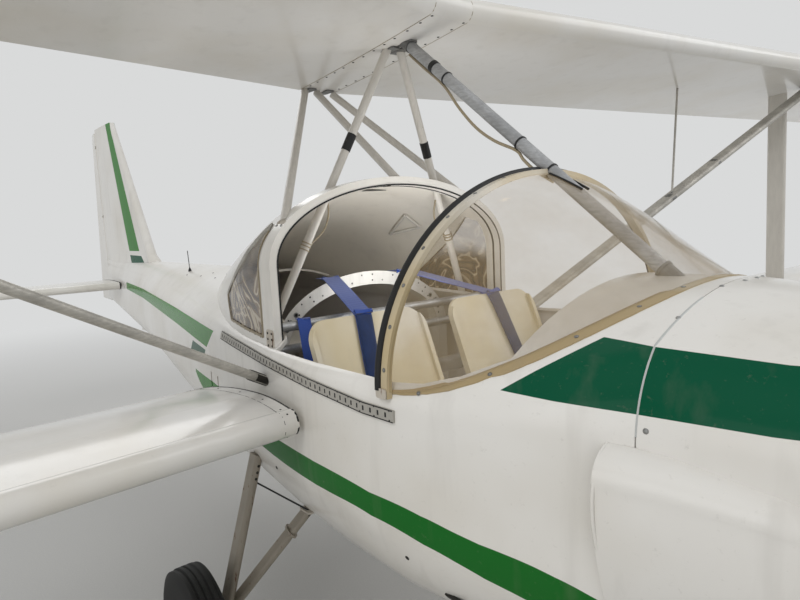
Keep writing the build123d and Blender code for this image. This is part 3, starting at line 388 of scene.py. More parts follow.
@dataclass(frozen=True)
class Acrylic(Finish):
    """Cast sheet that has aged: see-through with a smoky tint that deepens at a grazing look."""
    clarity: float = 0.8

    def paint(self, tree: NodeTree, place: NodeSocket, shader: Node) -> None:
        """Tint shows as haze patches, stronger towards the outline, under a clear glossy face.

        Args:
            tree: The material's nodes.
            place: Object coordinates.
            shader: The shader that gets the patterns.
        """
        haze = add(tree, "ShaderNodeTexNoise", {"Vector": place, "Scale": per_mm(160), "Detail": 6.0,
                                                "Roughness": 0.6})
        patchy = add(tree, "ShaderNodeMapRange", {0: haze.outputs[0], 1: 0.35, 2: 0.75,
                                                  3: (1 - self.clarity) * 0.75, 4: (1 - self.clarity) * 1.4})
        graze = add(tree, "ShaderNodeLayerWeight", {"Blend": 0.35})
        rim = add(tree, "ShaderNodeMapRange", {0: graze.outputs["Facing"], 1: 0.45, 2: 1.0, 4: 0.55})
        solid = add(tree, "ShaderNodeMath", {0: patchy.outputs[0], 1: rim.outputs[0]}, operation="ADD",
                    use_clamp=True)
        feed(tree, shader, {"Alpha": solid.outputs[0], "Coat Weight": 1.0, "Coat Roughness": 0.03})


@dataclass(frozen=True)
class StainedAcrylic(Finish):
    """Quarter window: clear above, and below a brown film with pale dried edges where water ran."""
    film_top: float = 1325.0

    def paint(self, tree: NodeTree, place: NodeSocket, shader: Node) -> None:
        """Swirled noise split into blots whose borders are pale, over an uneven upper limit.

        Args:
            tree: The material's nodes.
            place: Object coordinates.
            shader: The shader that gets the patterns.
        """
        swirl = add(tree, "ShaderNodeTexNoise", {"Vector": place, "Scale": per_mm(240), "Detail": 2.0,
                                                 "Distortion": 2.2})
        rings = add(tree, "ShaderNodeMath", {0: swirl.outputs[0], 1: 34.0}, operation="MULTIPLY")
        level = add(tree, "ShaderNodeMath", {0: rings.outputs[0]}, operation="SINE")
        pale = add(tree, "ShaderNodeMapRange", {0: level.outputs[0], 1: 0.72, 2: 1.0, 4: 0.85})
        depth = add(tree, "ShaderNodeMapRange", {0: level.outputs[0], 1: -1.0, 2: 0.7})
        brown = add(tree, "ShaderNodeMix", {0: depth.outputs[0], 6: linear("#43352A"), 7: linear("#857158")},
                    data_type="RGBA")
        colour = add(tree, "ShaderNodeMix", {0: pale.outputs[0], 6: brown.outputs[2], 7: linear("#CDC1AA")},
                     data_type="RGBA")
        axes = add(tree, "ShaderNodeSeparateXYZ", {0: place})
        wander = add(tree, "ShaderNodeMath", {0: swirl.outputs[0], 1: 0.12, 2: axes.outputs[2]},
                     operation="MULTIPLY_ADD")
        film = add(tree, "ShaderNodeMapRange", {0: wander.outputs[0], 1: self.film_top / MM + 0.03,
                                                2: self.film_top / MM + 0.1, 3: 0.93, 4: 0.28})
        feed(tree, shader, {"Base Color": colour.outputs[2], "Alpha": film.outputs[0], "Coat Weight": 0.2,
                            "Coat Roughness": 0.1})


@dataclass(frozen=True)
class Weave(Finish):
    """Woven polyester webbing or canvas: threads over and under, matt with a faint sheen, the thread crowns
    lighter as a painted highlight.
    """
    thread: float = 2.2

    def paint(self, tree: NodeTree, place: NodeSocket, shader: Node) -> None:
        """Two crossing waves make the threads, drawn a little coarser than real so that they show; their crowns
        are painted a lighter blue in noise patches, a painted highlight.

        Args:
            tree: The material's nodes.
            place: Object coordinates.
            shader: The shader that gets the patterns.
        """
        waves = [add(tree, "ShaderNodeTexWave", {"Vector": place, "Scale": per_mm(self.thread) / 20 * 3.2},
                     bands_direction=axis).outputs[1] for axis in ("Y", "Z")]
        cross = add(tree, "ShaderNodeMath", {0: waves[0], 1: waves[1]}, operation="MULTIPLY")
        worn = add(tree, "ShaderNodeTexNoise", {"Vector": place, "Scale": per_mm(30), "Detail": 5.0})
        # Lighter blue on the crowns of the weave, spread in noise patches, is a painted highlight.
        crown_highlight = add(tree, "ShaderNodeMath", {0: cross.outputs[0], 1: worn.outputs[0]}, operation="MULTIPLY")
        colour = add(tree, "ShaderNodeMix", {0: crown_highlight.outputs[0], 6: linear(self.colour), 7: linear("#2C52A4")},
                     data_type="RGBA")
        bump = add(tree, "ShaderNodeBump", {"Height": cross.outputs[0], "Strength": 0.5, "Distance": 0.0006})
        feed(tree, shader, {"Base Color": colour.outputs[2], "Normal": bump.outputs[0], "Sheen Weight": 0.3})


@dataclass(frozen=True)
class Timber(Finish):
    """Laminated, varnished hardwood: glued layers along the blade and a clear coat."""

    def paint(self, tree: NodeTree, place: NodeSocket, shader: Node) -> None:
        """Layers about 15 mm thick with fine pores along the blade.

        Args:
            tree: The material's nodes.
            place: Object coordinates.
            shader: The shader that gets the patterns.
        """
        grain_place = add(tree, "ShaderNodeMapping", {0: place, 3: (1.0, 0.04, 1.0)})
        grain = add(tree, "ShaderNodeTexNoise", {"Vector": grain_place.outputs[0], "Scale": per_mm(4),
                                                 "Detail": 6.0})
        layer = add(tree, "ShaderNodeTexWave", {"Vector": place, "Scale": per_mm(15) / 20, "Distortion": 0.6},
                    bands_direction="X")
        mixed = add(tree, "ShaderNodeMath", {0: grain.outputs[0], 1: layer.outputs[1]}, operation="MULTIPLY")
        colour = add(tree, "ShaderNodeMix", {0: mixed.outputs[0], 6: linear(self.colour), 7: linear("#C08A4E")},
                     data_type="RGBA")
        feed(tree, shader, {"Base Color": colour.outputs[2], "Coat Weight": 0.8})


@dataclass(frozen=True)
class StudioFloor(Finish):
    """Painted floor that fades into the backdrop's tone with the distance from the middle."""

    def paint(self, tree: NodeTree, place: NodeSocket, shader: Node) -> None:
        """A faint mottle, and the backdrop's colour as light far away.

        Args:
            tree: The material's nodes.
            place: Object coordinates.
            shader: The shader that gets the patterns.
        """
        super().paint(tree, place, shader)
        reach = add(tree, "ShaderNodeVectorMath", {0: place}, operation="LENGTH")
        far = add(tree, "ShaderNodeMapRange", {0: reach.outputs["Value"], 1: 3.0, 2: 9.0},
                  interpolation_type="SMOOTHSTEP")
        glow = add(tree, "ShaderNodeEmission", {0: linear(BACKDROP), 1: 1.0})
        both = add(tree, "ShaderNodeMixShader", {0: far.outputs[0], 1: shader.outputs[0], 2: glow.outputs[0]})
        output = next(node for node in tree.nodes if node.type == "OUTPUT_MATERIAL")
        tree.links.new(both.outputs[0], output.inputs["Surface"])


GREEN, DARK_GREEN, LOW_GREEN = "#34802A", "#065238", "#1E6A28"
IVORY = "#E8E5DF"
REAR_STRIPE = Mark(((-2825, 1099), (-700, 1015), (-570, 1097), (-2825, 1147)), GREEN)
REAR_BLOCK = Mark(((-1053, 924), (-773, 954), (-723, 1000), (-956, 1006)), DARK_GREEN)
LOW_STRIPES = (
    Band(((-950, 868, 881), (-800, 812, 882), (-640, 792, 885), (-560, 788, 884)), GREEN),
    Band(((-560, 788, 884), (-300, 786, 864), (-24, 786, 852), (142, 785, 854), (350, 794, 860), (558, 802, 861),
          (706, 788, 855), (808, 767, 839), (906, 738, 824), (984, 706, 806), (1065, 668, 772), (1100, 650, 752),
          (1180, 606, 706), (1260, 590, 650)), LOW_GREEN),
)
NOSE_BAND = (
    Mark(((897, 1147), (1131, 1128), (1700, 1131), (1700, 1212), (1342, 1228), (1031, 1245)), DARK_GREEN),
)
FIN_STRIPE = (
    Mark(((-3012, 1354), (-2796, 1354), (-3256, 2290), (-3345, 2290)), GREEN),
    Mark(((-2921, 1257), (-2641, 1257), (-2758, 1321), (-3000, 1325)), DARK_GREEN),
)

# Moulded polyester with a pigmented face: soft sheen, faint waves, dust in streaks; matt on the inner faces.
GELCOAT = Gelcoat("ivory gelcoat, moulded and polished", IVORY, 0.2)
HULL_COAT = Gelcoat("ivory gelcoat with green flank stripes", IVORY, 0.2,
                    marks=(REAR_STRIPE, REAR_BLOCK) + NOSE_BAND, bands=LOW_STRIPES)
COWL_COAT = Gelcoat("ivory gelcoat with dark green nose band", IVORY, 0.2, marks=NOSE_BAND,
                    bands=LOW_STRIPES[1:])
FIN_COAT = Gelcoat("ivory gelcoat with green fin stripe", IVORY, 0.22, marks=FIN_STRIPE)
WING_COAT = Gelcoat("white wing skin, glossy", "#E4E2DE", 0.17, dirt=0.25)
LINER = Gelcoat("matt inner face of the moulding", "#D8D2CB", 0.55, dirt=0.4)
INNER_LIGHT = Gelcoat("off-white inner face of the roof", "#E2DCD0", 0.5, dirt=0.3)
CREAM = Gelcoat("cream gelcoat of the seats", "#CDBF9E", 0.24, dirt=0.3)
FLANGE = Gelcoat("cream flange strip, scuffed", "#AC9872", 0.42, dirt=0.5)
HOOP_COAT = Gelcoat("pale beige moulded hoop", "#C2B08A", 0.35, dirt=0.45)
# Cast acrylic: clear with a glossy face, smoky where the look grazes it; stained low down at the rear.
CLEAR = Acrylic("clear acrylic sheet, smoky beige with age", "#B49C72", 0.06, clarity=0.84)
CRAZED = StainedAcrylic("stained acrylic of the quarter windows", "#5A4A3A", 0.18)
# Paint on metal: satin with long streaks, chipped to brown rust.
RAIL_METAL = WornPaint("grey paint on the door rail, worn", "#B5B1A8", 0.5, rust=0.1)
DULL_WHITE = WornPaint("white paint on the bulkhead, marked", "#DEDBD4", 0.4, rust=0.05)
CABANE_PAINT = WornPaint("off-white enamel on tube, chipped", "#DAD5CC", 0.35, rust=0.2)
GEAR_PAINT = WornPaint("grey-beige enamel on the gear legs", "#A39A8B", 0.45, rust=0.45)
RUSTY = WornPaint("old white paint on brackets, rusting", "#CFC6B8", 0.55, rust=0.6)
# Bare metal: drawing lines on tube, clouds on castings, a tight sheen on fasteners.
EVEN = (1.0, 1.0, 1.0)
STRUT_METAL = Metal("drawn aluminium strut, oxidised", "#C9C5BC", 0.4, 0.3, stretch=(1.0, 0.06, 1.0))
TUBE_METAL = Metal("drawn aluminium tube", "#C4C5C6", 0.34, 0.65)
CAST_METAL = Metal("cast aluminium, cleaned", "#9C9C9A", 0.45, 0.9, stretch=EVEN)
BRIGHT = Metal("stainless fastener", "#B4B4B2", 0.28, 1.0, stretch=EVEN)
DARK_METAL = Metal("blackened steel fitting", "#4A4844", 0.5, 0.8, stretch=EVEN)
# Rubber, tape and plastics: dull, with a fine mottle. The black rubber also stands for painted shade in holes,
# slots and grooves.
RUBBER_AND_PAINTED_SHADE = Finish("black rubber seal, weathered", "#141414", 0.6)
TYRE = Finish("tyre rubber, dusty", "#1D1D1C", 0.75)
TAPE = Finish("black cloth tape", "#161616", 0.5)
PLASTIC = Finish("black moulded plastic", "#1A1A1B", 0.42)
DIAL_WHITE = Finish("printed dial mark, off-white", "#D9D6CC", 0.6)
BEAD = Finish("clear sealant bead", "#C4C6C3", 0.3)
CONDUIT = Finish("beige plastic conduit", "#9C8F76", 0.5)
# Polyester cloth: matt, the crowns of its threads painted lighter one by one as a painted highlight.
WEBBING = Weave("blue woven webbing", "#1B3F8F", 0.75)
PAD_CLOTH = Weave("navy pad cover, woven", "#14233F", 0.8, thread=1.6)
# Laminated hardwood: brown layers in depth under a clear coat.
WOOD = Timber("laminated varnished hardwood", "#6B3A1A", 0.25)


# Mesh tools

def linked(name: str, data: ID) -> Object:
    """Makes an object and links it to the scene.

    Args:
        name: Its name.
        data: Its mesh, light or camera.

    Returns:
        The object.
    """
    made = bpy.data.objects.new(name, data)
    bpy.context.scene.collection.objects.link(made)
    return made


def soften(mesh: Mesh, sharp: float) -> None:
    """Shades a mesh smoothly, apart from edges past an angle in degrees."""
    mesh.shade_smooth()
    mesh.set_sharp_from_angle(angle=math.radians(sharp))


def piece(name: str, verts: Sequence[Sequence[float]], faces: Sequence[Sequence[int]], finish: Finish,
          sharp: float = 35.0) -> Object:
    """Makes a mesh object at the origin.

    Args:
        name: The piece's name.
        verts: Points in the frame, in metres.
        faces: Corner indices of each face.
        finish: What it is made of.
        sharp: Angle in degrees from which an edge stays sharp.

    Returns:
        The linked object, its normals turned outwards.
    """
    mesh = bpy.data.meshes.new(name)
    mesh.from_pydata([tuple(v) for v in verts], [], [tuple(f) for f in faces])
    shape = bmesh.new()
    shape.from_mesh(mesh)
    bmesh.ops.remove_doubles(shape, verts=shape.verts, dist=1e-6)
    bmesh.ops.recalc_face_normals(shape, faces=shape.faces)
    shape.to_mesh(mesh)
    shape.free()
    soften(mesh, sharp)
    mesh.materials.append(finish.material())
    return linked(name, mesh)


def settle(made: Object, body: str) -> Object:
    """Lets a finished piece ride on its body.

    Args:
        made: The piece.
        body: The body it rides on.

    Returns:
        The piece.
    """
    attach(made, body)
    LOG.info("%s: %d faces on %s", made.name, len(made.data.polygons), body)
    return made


def fitted(name: str, shape: Shape, finish: Finish, body: str = "airframe") -> Object:
    """Makes a piece from points and faces and settles it on its body."""
    return settle(piece(name, *shape, finish), body)


def loop_faces(rings: int, width: int, closed: bool, capped: bool) -> List[Face]:
    """Faces between rings of points.

    Args:
        rings: How many rings there are.
        width: How many points each ring has.
        closed: Whether the last ring joins the first.
        capped: Whether both ends get a cap.

    Returns:
        The faces as corner indices.
    """
    faces: List[Face] = []
    for i in range(rings if closed else rings - 1):
        a, b = i * width, (i + 1) % rings * width
        for j in range(width):
            k = (j + 1) % width
            faces.append((a + j, a + k, b + k, b + j))
    if capped and not closed:
        faces.append(tuple(reversed(range(width))))
        faces.append(tuple((rings - 1) * width + j for j in range(width)))
    return faces


def swept(points: Sequence[Vector], long: float, thick: float, up: Vector, closed: bool = False,
          sides: int = 16, square: bool = False) -> Shape:
    """Sweeps an oval or a rectangle along points.

    Args:
        points: The middle line, in metres.
        long: Full size across the line, along up, in millimetres.
        thick: Full size square to that.
        up: Direction of the long side as near as the line allows.
        closed: Whether the line returns to its start.
        sides: Points round the oval.
        square: Whether the section is a rectangle.

    Returns:
        Points and faces of a closed mesh.
    """
    verts: List[Vector] = []
    count = len(points)
    long, thick = long / MM, thick / MM
    if square:
        shape = [(-0.5, -0.5), (0.5, -0.5), (0.5, 0.5), (-0.5, 0.5)]
    else:
        shape = [(math.cos(2 * math.pi * i / sides) / 2, math.sin(2 * math.pi * i / sides) / 2)
                 for i in range(sides)]
    for i, spot in enumerate(points):
        before = points[(i - 1) % count] if closed or i else spot
        after = points[(i + 1) % count] if closed or i < count - 1 else spot
        run = (after - before).normalized()
        side = (up - run * up.dot(run)).normalized()
        other = run.cross(side)
        verts += [spot + side * (u * long) + other * (v * thick) for u, v in shape]
    return verts, loop_faces(count, len(shape), closed, True)


def between(start: Vector, end: Vector, shares: Sequence[float]) -> List[Vector]:
    """Points at shares of the way from start to end."""
    return [start.lerp(end, share) for share in shares]


def lathe(centre: Vector, profile: Sequence[Place], steps: int = 96) -> Shape:
    """Turns a closed profile round an axis across the aircraft.

    Args:
        centre: The middle, in metres.
        profile: Radius and place along the axis, in millimetres, as a closed ring of points.
        steps: How many steps round.

    Returns:
        Points and faces.
    """
    verts: List[Vector] = []
    for i in range(steps):
        turn = 2 * math.pi * i / steps
        c, s = math.cos(turn) / MM, math.sin(turn) / MM
        verts += [centre + Vector((radius * c, along / MM, radius * s)) for radius, along in profile]
    return verts, loop_faces(steps, len(profile), True, False)


def lathe_up(foot: Vector, profile: Sequence[Place], steps: int = 20) -> Shape:
    """Turns an open profile round an upright axis and caps it.

    Args:
        foot: Where the axis starts, in metres.
        profile: Radius and height of each ring, in millimetres.
        steps: How many steps round.

    Returns:
        Points and faces.
    """
    verts = [foot + Vector((radius / MM * math.cos(2 * math.pi * i / steps),
                            radius / MM * math.sin(2 * math.pi * i / steps), height / MM))
             for radius, height in profile for i in range(steps)]
    return verts, loop_faces(len(profile), steps, False, True)


def smooth_line(points: Sequence[Vector], parts: int) -> List[Vector]:
    """Catmull-Rom line through points.

    Args:
        points: What it passes through.
        parts: Steps between two of them.

    Returns:
        The line's points.
    """
    ring = [points[0]] + list(points) + [points[-1]]
    line: List[Vector] = []
    for p, q, r, s in zip(ring, ring[1:], ring[2:], ring[3:]):
        for i in range(parts):
            t = i / parts
            line.append(0.5 * ((2 * q) + (r - p) * t + (2 * p - 5 * q + 4 * r - s) * t * t
                               + (3 * q - p - 3 * r + s) * t ** 3))
    return line + [points[-1]]


def merged(parts: Iterable[Shape]) -> Shape:
    """Joins several sets of points and faces into one.

    Args:
        parts: The sets.

    Returns:
        All points and faces.
    """
    verts: List[Vector] = []
    faces: List[Face] = []
    for some, corners in parts:
        start = len(verts)
        verts += list(some)
        faces += [tuple(start + i for i in face) for face in corners]
    return verts, faces


def plate(centre: Vector, x_dir: Vector, y_dir: Vector, size: Point,
          chamfer: float = 0.15) -> Shape:
    """Flat plate with cut corners.

    Args:
        centre: Its middle, in metres.
        x_dir: Direction of its length.
        y_dir: Direction of its width, roughly.
        size: Length, width and thickness in millimetres.
        chamfer: Share of the width that each corner loses.

    Returns:
        Points and faces.
    """
    along = x_dir.normalized()
    across = (y_dir - along * y_dir.dot(along)).normalized()
    up = along.cross(across)
    a, b, t = [s / 2 / MM for s in size]
    cut = b * chamfer * 2
    ring = [(a - cut, -b), (a, cut - b), (a, b - cut), (a - cut, b), (cut - a, b), (-a, b - cut), (-a, cut - b),
            (cut - a, -b)]
    verts = [centre + along * u + across * v + up * h for h in (-t, t) for u, v in ring]
    return verts, loop_faces(2, 8, False, True)


class Skin:
    """Surface of some CAD nodes, on which trim is placed."""

    def __init__(self, *names: str) -> None:
        """Collects the nodes' triangles.

        Args:
            names: The CAD nodes.
        """
        meshes = [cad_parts[name].data for name in names]
        self.tree = BVHTree.FromPolygons(*merged(([v.co.copy() for v in mesh.vertices],
                                                  [tuple(p.vertices) for p in mesh.polygons]) for mesh in meshes))

    def cast(self, start: Vector, way: Vector) -> Optional[Spot]:
        """First point of the surface along a ray.

        Args:
            start: Where the ray starts.
            way: Its direction.

        Returns:
            The point with its outward normal, or None.
        """
        spot, normal, _, _ = self.tree.ray_cast(start, way)
        if spot is None:
            return None
        return spot, (normal if normal.dot(way) < 0 else -normal)

    def hits(self, rays: Iterable[Spot]) -> List[Spot]:
        """Casts rays, each a start and a direction, and keeps those that strike."""
        return [found for start, way in rays if (found := self.cast(start, way))]

    def near(self, spot: Vector) -> Spot:
        """Closest point of the surface to spot, and its normal."""
        found, normal, _, _ = self.tree.find_nearest(spot)
        return found, normal


class StudShape(Enum):
    """Heads that the stud tree can set."""
    DOME = "dome"
    DISC = "disc"
    BLOCK = "block"


class StudTree:
    """Geometry Nodes tree that sets one head on each point, turned to the point's normal."""

    def __init__(self, shape: StudShape) -> None:
        """Builds the tree for one kind of head.

        Args:
            shape: The head.
        """
        tree = bpy.data.node_groups.new(f"studs_{shape.value}", "GeometryNodeTree")
        tree.interface.new_socket("Geometry", in_out="OUTPUT", socket_type="NodeSocketGeometry")
        _, self.size, self.finish = [
            tree.interface.new_socket(name, in_out="INPUT", socket_type=f"NodeSocket{kind}").identifier
            for name, kind in (("Geometry", "Geometry"), ("Size", "Vector"), ("Finish", "Material"))]
        entry = add(tree, "NodeGroupInput")
        if shape is StudShape.DOME:
            head = add(tree, "GeometryNodeMeshUVSphere", {"Segments": 10, "Rings": 6, "Radius": 0.5})
        elif shape is StudShape.DISC:
            head = add(tree, "GeometryNodeMeshCylinder", {"Vertices": 14, "Radius": 0.5, "Depth": 1.0})
        else:
            head = add(tree, "GeometryNodeMeshCube", {"Size": (1.0, 1.0, 1.0)})
        out = add(tree, "GeometryNodeInputNamedAttribute", {"Name": "out"}, data_type="FLOAT_VECTOR")
        along = add(tree, "GeometryNodeInputNamedAttribute", {"Name": "along"}, data_type="FLOAT_VECTOR")
        upright = add(tree, "FunctionNodeAlignRotationToVector", {"Vector": out.outputs[0]}, axis="Z")
        turned = add(tree, "FunctionNodeAlignRotationToVector",
                     {"Rotation": upright.outputs[0], "Vector": along.outputs[0]}, axis="X", pivot_axis="Z")
        studs = add(tree, "GeometryNodeInstanceOnPoints", {
            "Points": entry.outputs[0], "Instance": head.outputs[0], "Rotation": turned.outputs[0],
            "Scale": entry.outputs[1]})
        real = add(tree, "GeometryNodeRealizeInstances", {0: studs.outputs[0]})
        smooth = add(tree, "GeometryNodeSetShadeSmooth", {0: real.outputs[0]})
        dressed = add(tree, "GeometryNodeSetMaterial", {0: smooth.outputs[0], "Material": entry.outputs[2]})
        add(tree, "NodeGroupOutput", {0: dressed.outputs[0]})
        self.tree = tree

    def place(self, name: str, spots: Sequence[Spot], size: Point, finish: Finish) -> Object:
        """Sets heads on spots and bakes them to a plain mesh.

        Args:
            name: The piece's name.
            spots: Points with their outward normals.
            size: Head's length, which points ahead, width and height in millimetres.
            finish: What the heads are made of.

        Returns:
            The plain mesh object.
        """
        mesh = bpy.data.meshes.new(f"{name}_points")
        mesh.from_pydata([tuple(spot) for spot, _ in spots], [], [])
        for key, values in (("out", [n for _, n in spots]), ("along", [AHEAD] * len(spots))):
            layer = mesh.attributes.new(key, "FLOAT_VECTOR", "POINT")
            layer.data.foreach_set("vector", [c for v in values for c in v])
        seeds = linked(f"{name}_points", mesh)
        modifier = seeds.modifiers.new("studs", "NODES")
        modifier.node_group = self.tree
        modifier[self.size] = [s / MM for s in size]
        modifier[self.finish] = finish.material()
        state = seeds.evaluated_get(bpy.context.evaluated_depsgraph_get())
        baked = bpy.data.meshes.new_from_object(state)
        seeds.modifiers.remove(modifier)
        bpy.data.objects.remove(seeds)
        baked.set_sharp_from_angle(angle=math.radians(40))
        return linked(name, baked)


STUDS = {shape: StudTree(shape) for shape in StudShape}


@dataclass(frozen=True)
class Head:
    """A fastener's head or a small repeated part: length, width and height in millimetres, finish and slot."""
    shape: StudShape
    size: Point
    finish: Finish
    slot: str = "aluminium_tube"


DOME, DISC, BLOCK = StudShape.DOME, StudShape.DISC, StudShape.BLOCK
HEADS: Dict[str, Head] = {
    "cowling_screws": Head(DOME, (11, 11, 5), BRIGHT),
    "deck_screws": Head(DOME, (9, 9, 4), DARK_METAL),
    "belly_screws": Head(DISC, (11, 11, 2.5), DARK_METAL),
    "flange_washers": Head(DISC, (10, 10, 1.2), CAST_METAL),
    "flange_screws": Head(DOME, (6, 6, 4), BRIGHT),
    "cabane_foot_bolts": Head(DOME, (10, 10, 7), BRIGHT, "painted_steel"),
    "root_rivets": Head(DOME, (6, 6, 2.4), DARK_METAL),
    "upper_wing_rivets": Head(DOME, (9, 9, 3), DARK_METAL),
    # Slots drawn as thin black blocks: painted shade inside them.
    "rail_slot_shades": Head(BLOCK, (5, 11, 0.8), RUBBER_AND_PAINTED_SHADE, "black_fitting"),
    "rail_rivets": Head(DOME, (4.5, 4.5, 2), DARK_METAL),
    "arch_foot_rivets": Head(DOME, (8, 8, 4), DARK_METAL, "painted_steel"),
    "arch_vent": Head(DISC, (38, 22, 5), DARK_METAL, "black_fitting"),
    # Holes drawn as flat black discs: painted shade inside them.
    "bulkhead_hole_shades": Head(DISC, (6, 6, 1), RUBBER_AND_PAINTED_SHADE, "black_fitting"),
    "bulkhead_rivets": Head(DOME, (7, 7, 3), DARK_METAL),
    "bulkhead_rings": Head(DISC, (19, 19, 2), CAST_METAL),
    # Black discs in the rings: painted shade inside the holes.
    "bulkhead_ring_hole_shades": Head(DISC, (11, 11, 3), RUBBER_AND_PAINTED_SHADE, "black_fitting"),
    "window_clips": Head(BLOCK, (5, 13, 3), DARK_METAL, "black_fitting"),
    "dial_bezels": Head(DISC, (84, 84, 16), PLASTIC, "black_fitting"),
    "dial_faces": Head(DISC, (68, 68, 17), RUBBER_AND_PAINTED_SHADE, "black_fitting"),
    "dial_needles": Head(BLOCK, (2.4, 44, 18.4), DIAL_WHITE, "black_fitting"),
    "hub_bolts": Head(DISC, (12, 12, 8), BRIGHT, "wheel_hub"),
    "gear_bolts": Head(DOME, (10, 10, 6), DARK_METAL, "painted_steel"),
    "spinner_screws": Head(DOME, (7, 7, 3), BRIGHT),
}


def studded(name: str, spots: Sequence[Spot], body: str = "airframe", kind: str = "") -> Object:
    """Sets one kind of head on spots of a body.

    Args:
        name: The piece's name.
        spots: Points with their outward normals.
        body: The body it rides on.
        kind: Row of the table of heads, where it isn't the piece's name.

    Returns:
        The piece.
    """
    head = HEADS[kind or name]
    return settle(STUDS[head.shape].place(name, spots, head.size, head.finish), body)


def smooth_copy(node: str, name: str, finish: Finish, body: str, sharp: float, inner: Optional[Finish] = None,
                inside: float = 0.0) -> Object:
    """Smooth-shaded copy of a CAD node that stands for it.

    Args:
        node: The CAD node.
        name: The new piece's name.
        finish: Outer finish.
        body: The body it rides on.
        sharp: Angle in degrees from which an edge stays sharp.
        inner: Finish of faces that look towards the piece's inside.
        inside: Height in millimetres of the line along the inside's middle.

    Returns:
        The new piece.
    """
    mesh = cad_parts[node].data.copy()
    mesh.name = name
    shape = bmesh.new()
    shape.from_mesh(mesh)
    bmesh.ops.remove_doubles(shape, verts=shape.verts, dist=2e-6)
    shape.to_mesh(mesh)
    shape.free()
    mesh.materials.clear()
    mesh.materials.append(finish.material())
    if inner is not None:
        mesh.materials.append(inner.material())
        for face in mesh.polygons:
            out = Vector((0, face.center.y, face.center.z)) - Vector((0, 0, inside / MM))
            face.material_index = int(face.normal.dot(out.normalized()) < -0.15)
    if "custom_normal" in mesh.attributes:
        mesh.attributes.remove(mesh.attributes["custom_normal"])
    soften(mesh, sharp)
    made = linked(name, mesh)
    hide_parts(node)
    return settle(made, body)


def repaint(finish: Finish, *nodes: str) -> None:
    """Gives carried-over CAD nodes a finish.

    Args:
        finish: The finish.
        nodes: The nodes' names.
    """
    for name in nodes:
        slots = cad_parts[name].data.materials
        slots.clear()
        slots.append(finish.material())


# Sub-assemblies

@dataclass(frozen=True)
class Lamp:
    """A large soft lamp: its place and aim, the side of its square face in metres, and its watts."""
    name: str
    place: Point
    aim: Point
    size: float
    power: float
    hidden: bool = False

    def build(self) -> None:
        """Hangs the lamp out of the camera's sight, and out of reflections where it is hidden."""
        data = bpy.data.lights.new(self.name, "AREA")
        data.size = self.size
        data.energy = self.power
        made = linked(self.name, data)
        made.location = self.place
        made.rotation_euler = (Vector(self.place) - Vector(self.aim)).to_track_quat("Z", "Y").to_euler()
        made.visible_camera = False
        made.visible_glossy = not self.hidden


@dataclass
class Studio:
    """Plain pale room with soft light, and the camera at the photograph's angle."""
    eye: Point = (2.709, -1.377, 1.478)
    yaw: float = 39.237
    pitch: float = 7.309
    roll: float = -2.769
    sensor: float = 36.0
    focal: float = 36 * 619.5 / 800
    nearest: float = 0.05
    floor_half: float = 30.0
    sky: str = "#E2E4E6"
    sky_power: float = 0.64
    lamps: Tuple[Lamp, ...] = (
        Lamp("key_lamp", (3.5, -5.5, 6.0), (0.8, 0, 1.2), 3.5, 155, hidden=True),
        Lamp("fill_lamp", (5.0, 4.5, 5.0), (0.5, 0.5, 1.2), 4.0, 110),
        Lamp("rear_lamp", (-5.5, 1.0, 5.5), (-1.0, 0, 1.2), 4.0, 100),
        Lamp("door_lamp", (3.4, -6.5, 1.7), (1.0, 0, 1.3), 3.0, 30),
        Lamp("cabin_lamp", (1.72, -0.05, 1.32), (0.7, 0.0, 1.42), 0.4, 1.3, hidden=True),
        Lamp("roof_lamp", (1.13, 0.0, 1.26), (0.95, 0.0, 1.6), 0.35, 1.7, hidden=True),
    )

    def camera(self) -> None:
        """Camera from the fitted place and angles."""
        yaw, pitch, roll = [math.radians(a) for a in (self.yaw, self.pitch, self.roll)]
        level = Vector((-math.cos(yaw), math.sin(yaw), 0))
        forward = level * math.cos(pitch) - Vector((0, 0, math.sin(pitch)))
        right = level.cross(UP)
        up = right.cross(forward)
        right, up = (right * math.cos(roll) + up * math.sin(roll), up * math.cos(roll) - right * math.sin(roll))
        data = bpy.data.cameras.new("photo_camera")
        data.lens = self.focal
        data.sensor_width = self.sensor
        data.clip_start = self.nearest
        made = linked("photo_camera", data)
        turn = Matrix((right, up, -forward)).transposed().to_4x4()
        made.matrix_world = Matrix.Translation(Vector(self.eye)) @ turn
        bpy.context.scene.camera = made

    def floor(self) -> None:
        """Wide plane on the ground."""
        half = self.floor_half
        mesh = bpy.data.meshes.new("studio_floor")
        corners = [(-half, -half, 0), (half, -half, 0), (half, half, 0), (-half, half, 0)]
        mesh.from_pydata(corners, [], [(0, 1, 2, 3)])
        mesh.materials.append(StudioFloor("pale studio floor", "#CFCECB", 0.7).material())
        linked("studio_floor", mesh)

    def world(self) -> None:
        """Even light from all sides; the camera, glass and gloss see the paler backdrop instead."""
        world = bpy.data.worlds.new("studio_world")
        world.use_nodes = True
        tree = world.node_tree
        tree.nodes.clear()
        path = add(tree, "ShaderNodeLightPath")
        seen = path.outputs["Is Camera Ray"]
        for ray in ("Is Transmission Ray", "Is Glossy Ray"):
            seen = add(tree, "ShaderNodeMath", {0: seen, 1: path.outputs[ray]}, operation="MAXIMUM").outputs[0]
        plain = add(tree, "ShaderNodeBackground", {0: linear(self.sky), 1: self.sky_power})
        back = add(tree, "ShaderNodeBackground", {0: linear(BACKDROP), 1: 1.0})
        both = add(tree, "ShaderNodeMixShader", {0: seen, 1: plain.outputs[0], 2: back.outputs[0]})
        add(tree, "ShaderNodeOutputWorld", {0: both.outputs[0]})
        bpy.context.scene.world = world

    def build(self) -> None:
        """Floor, world, lamps and camera."""
        self.floor()
        self.world()
        for lamp in self.lamps:
            lamp.build()
        self.camera()
        bpy.context.scene.view_settings.view_transform = "Standard"


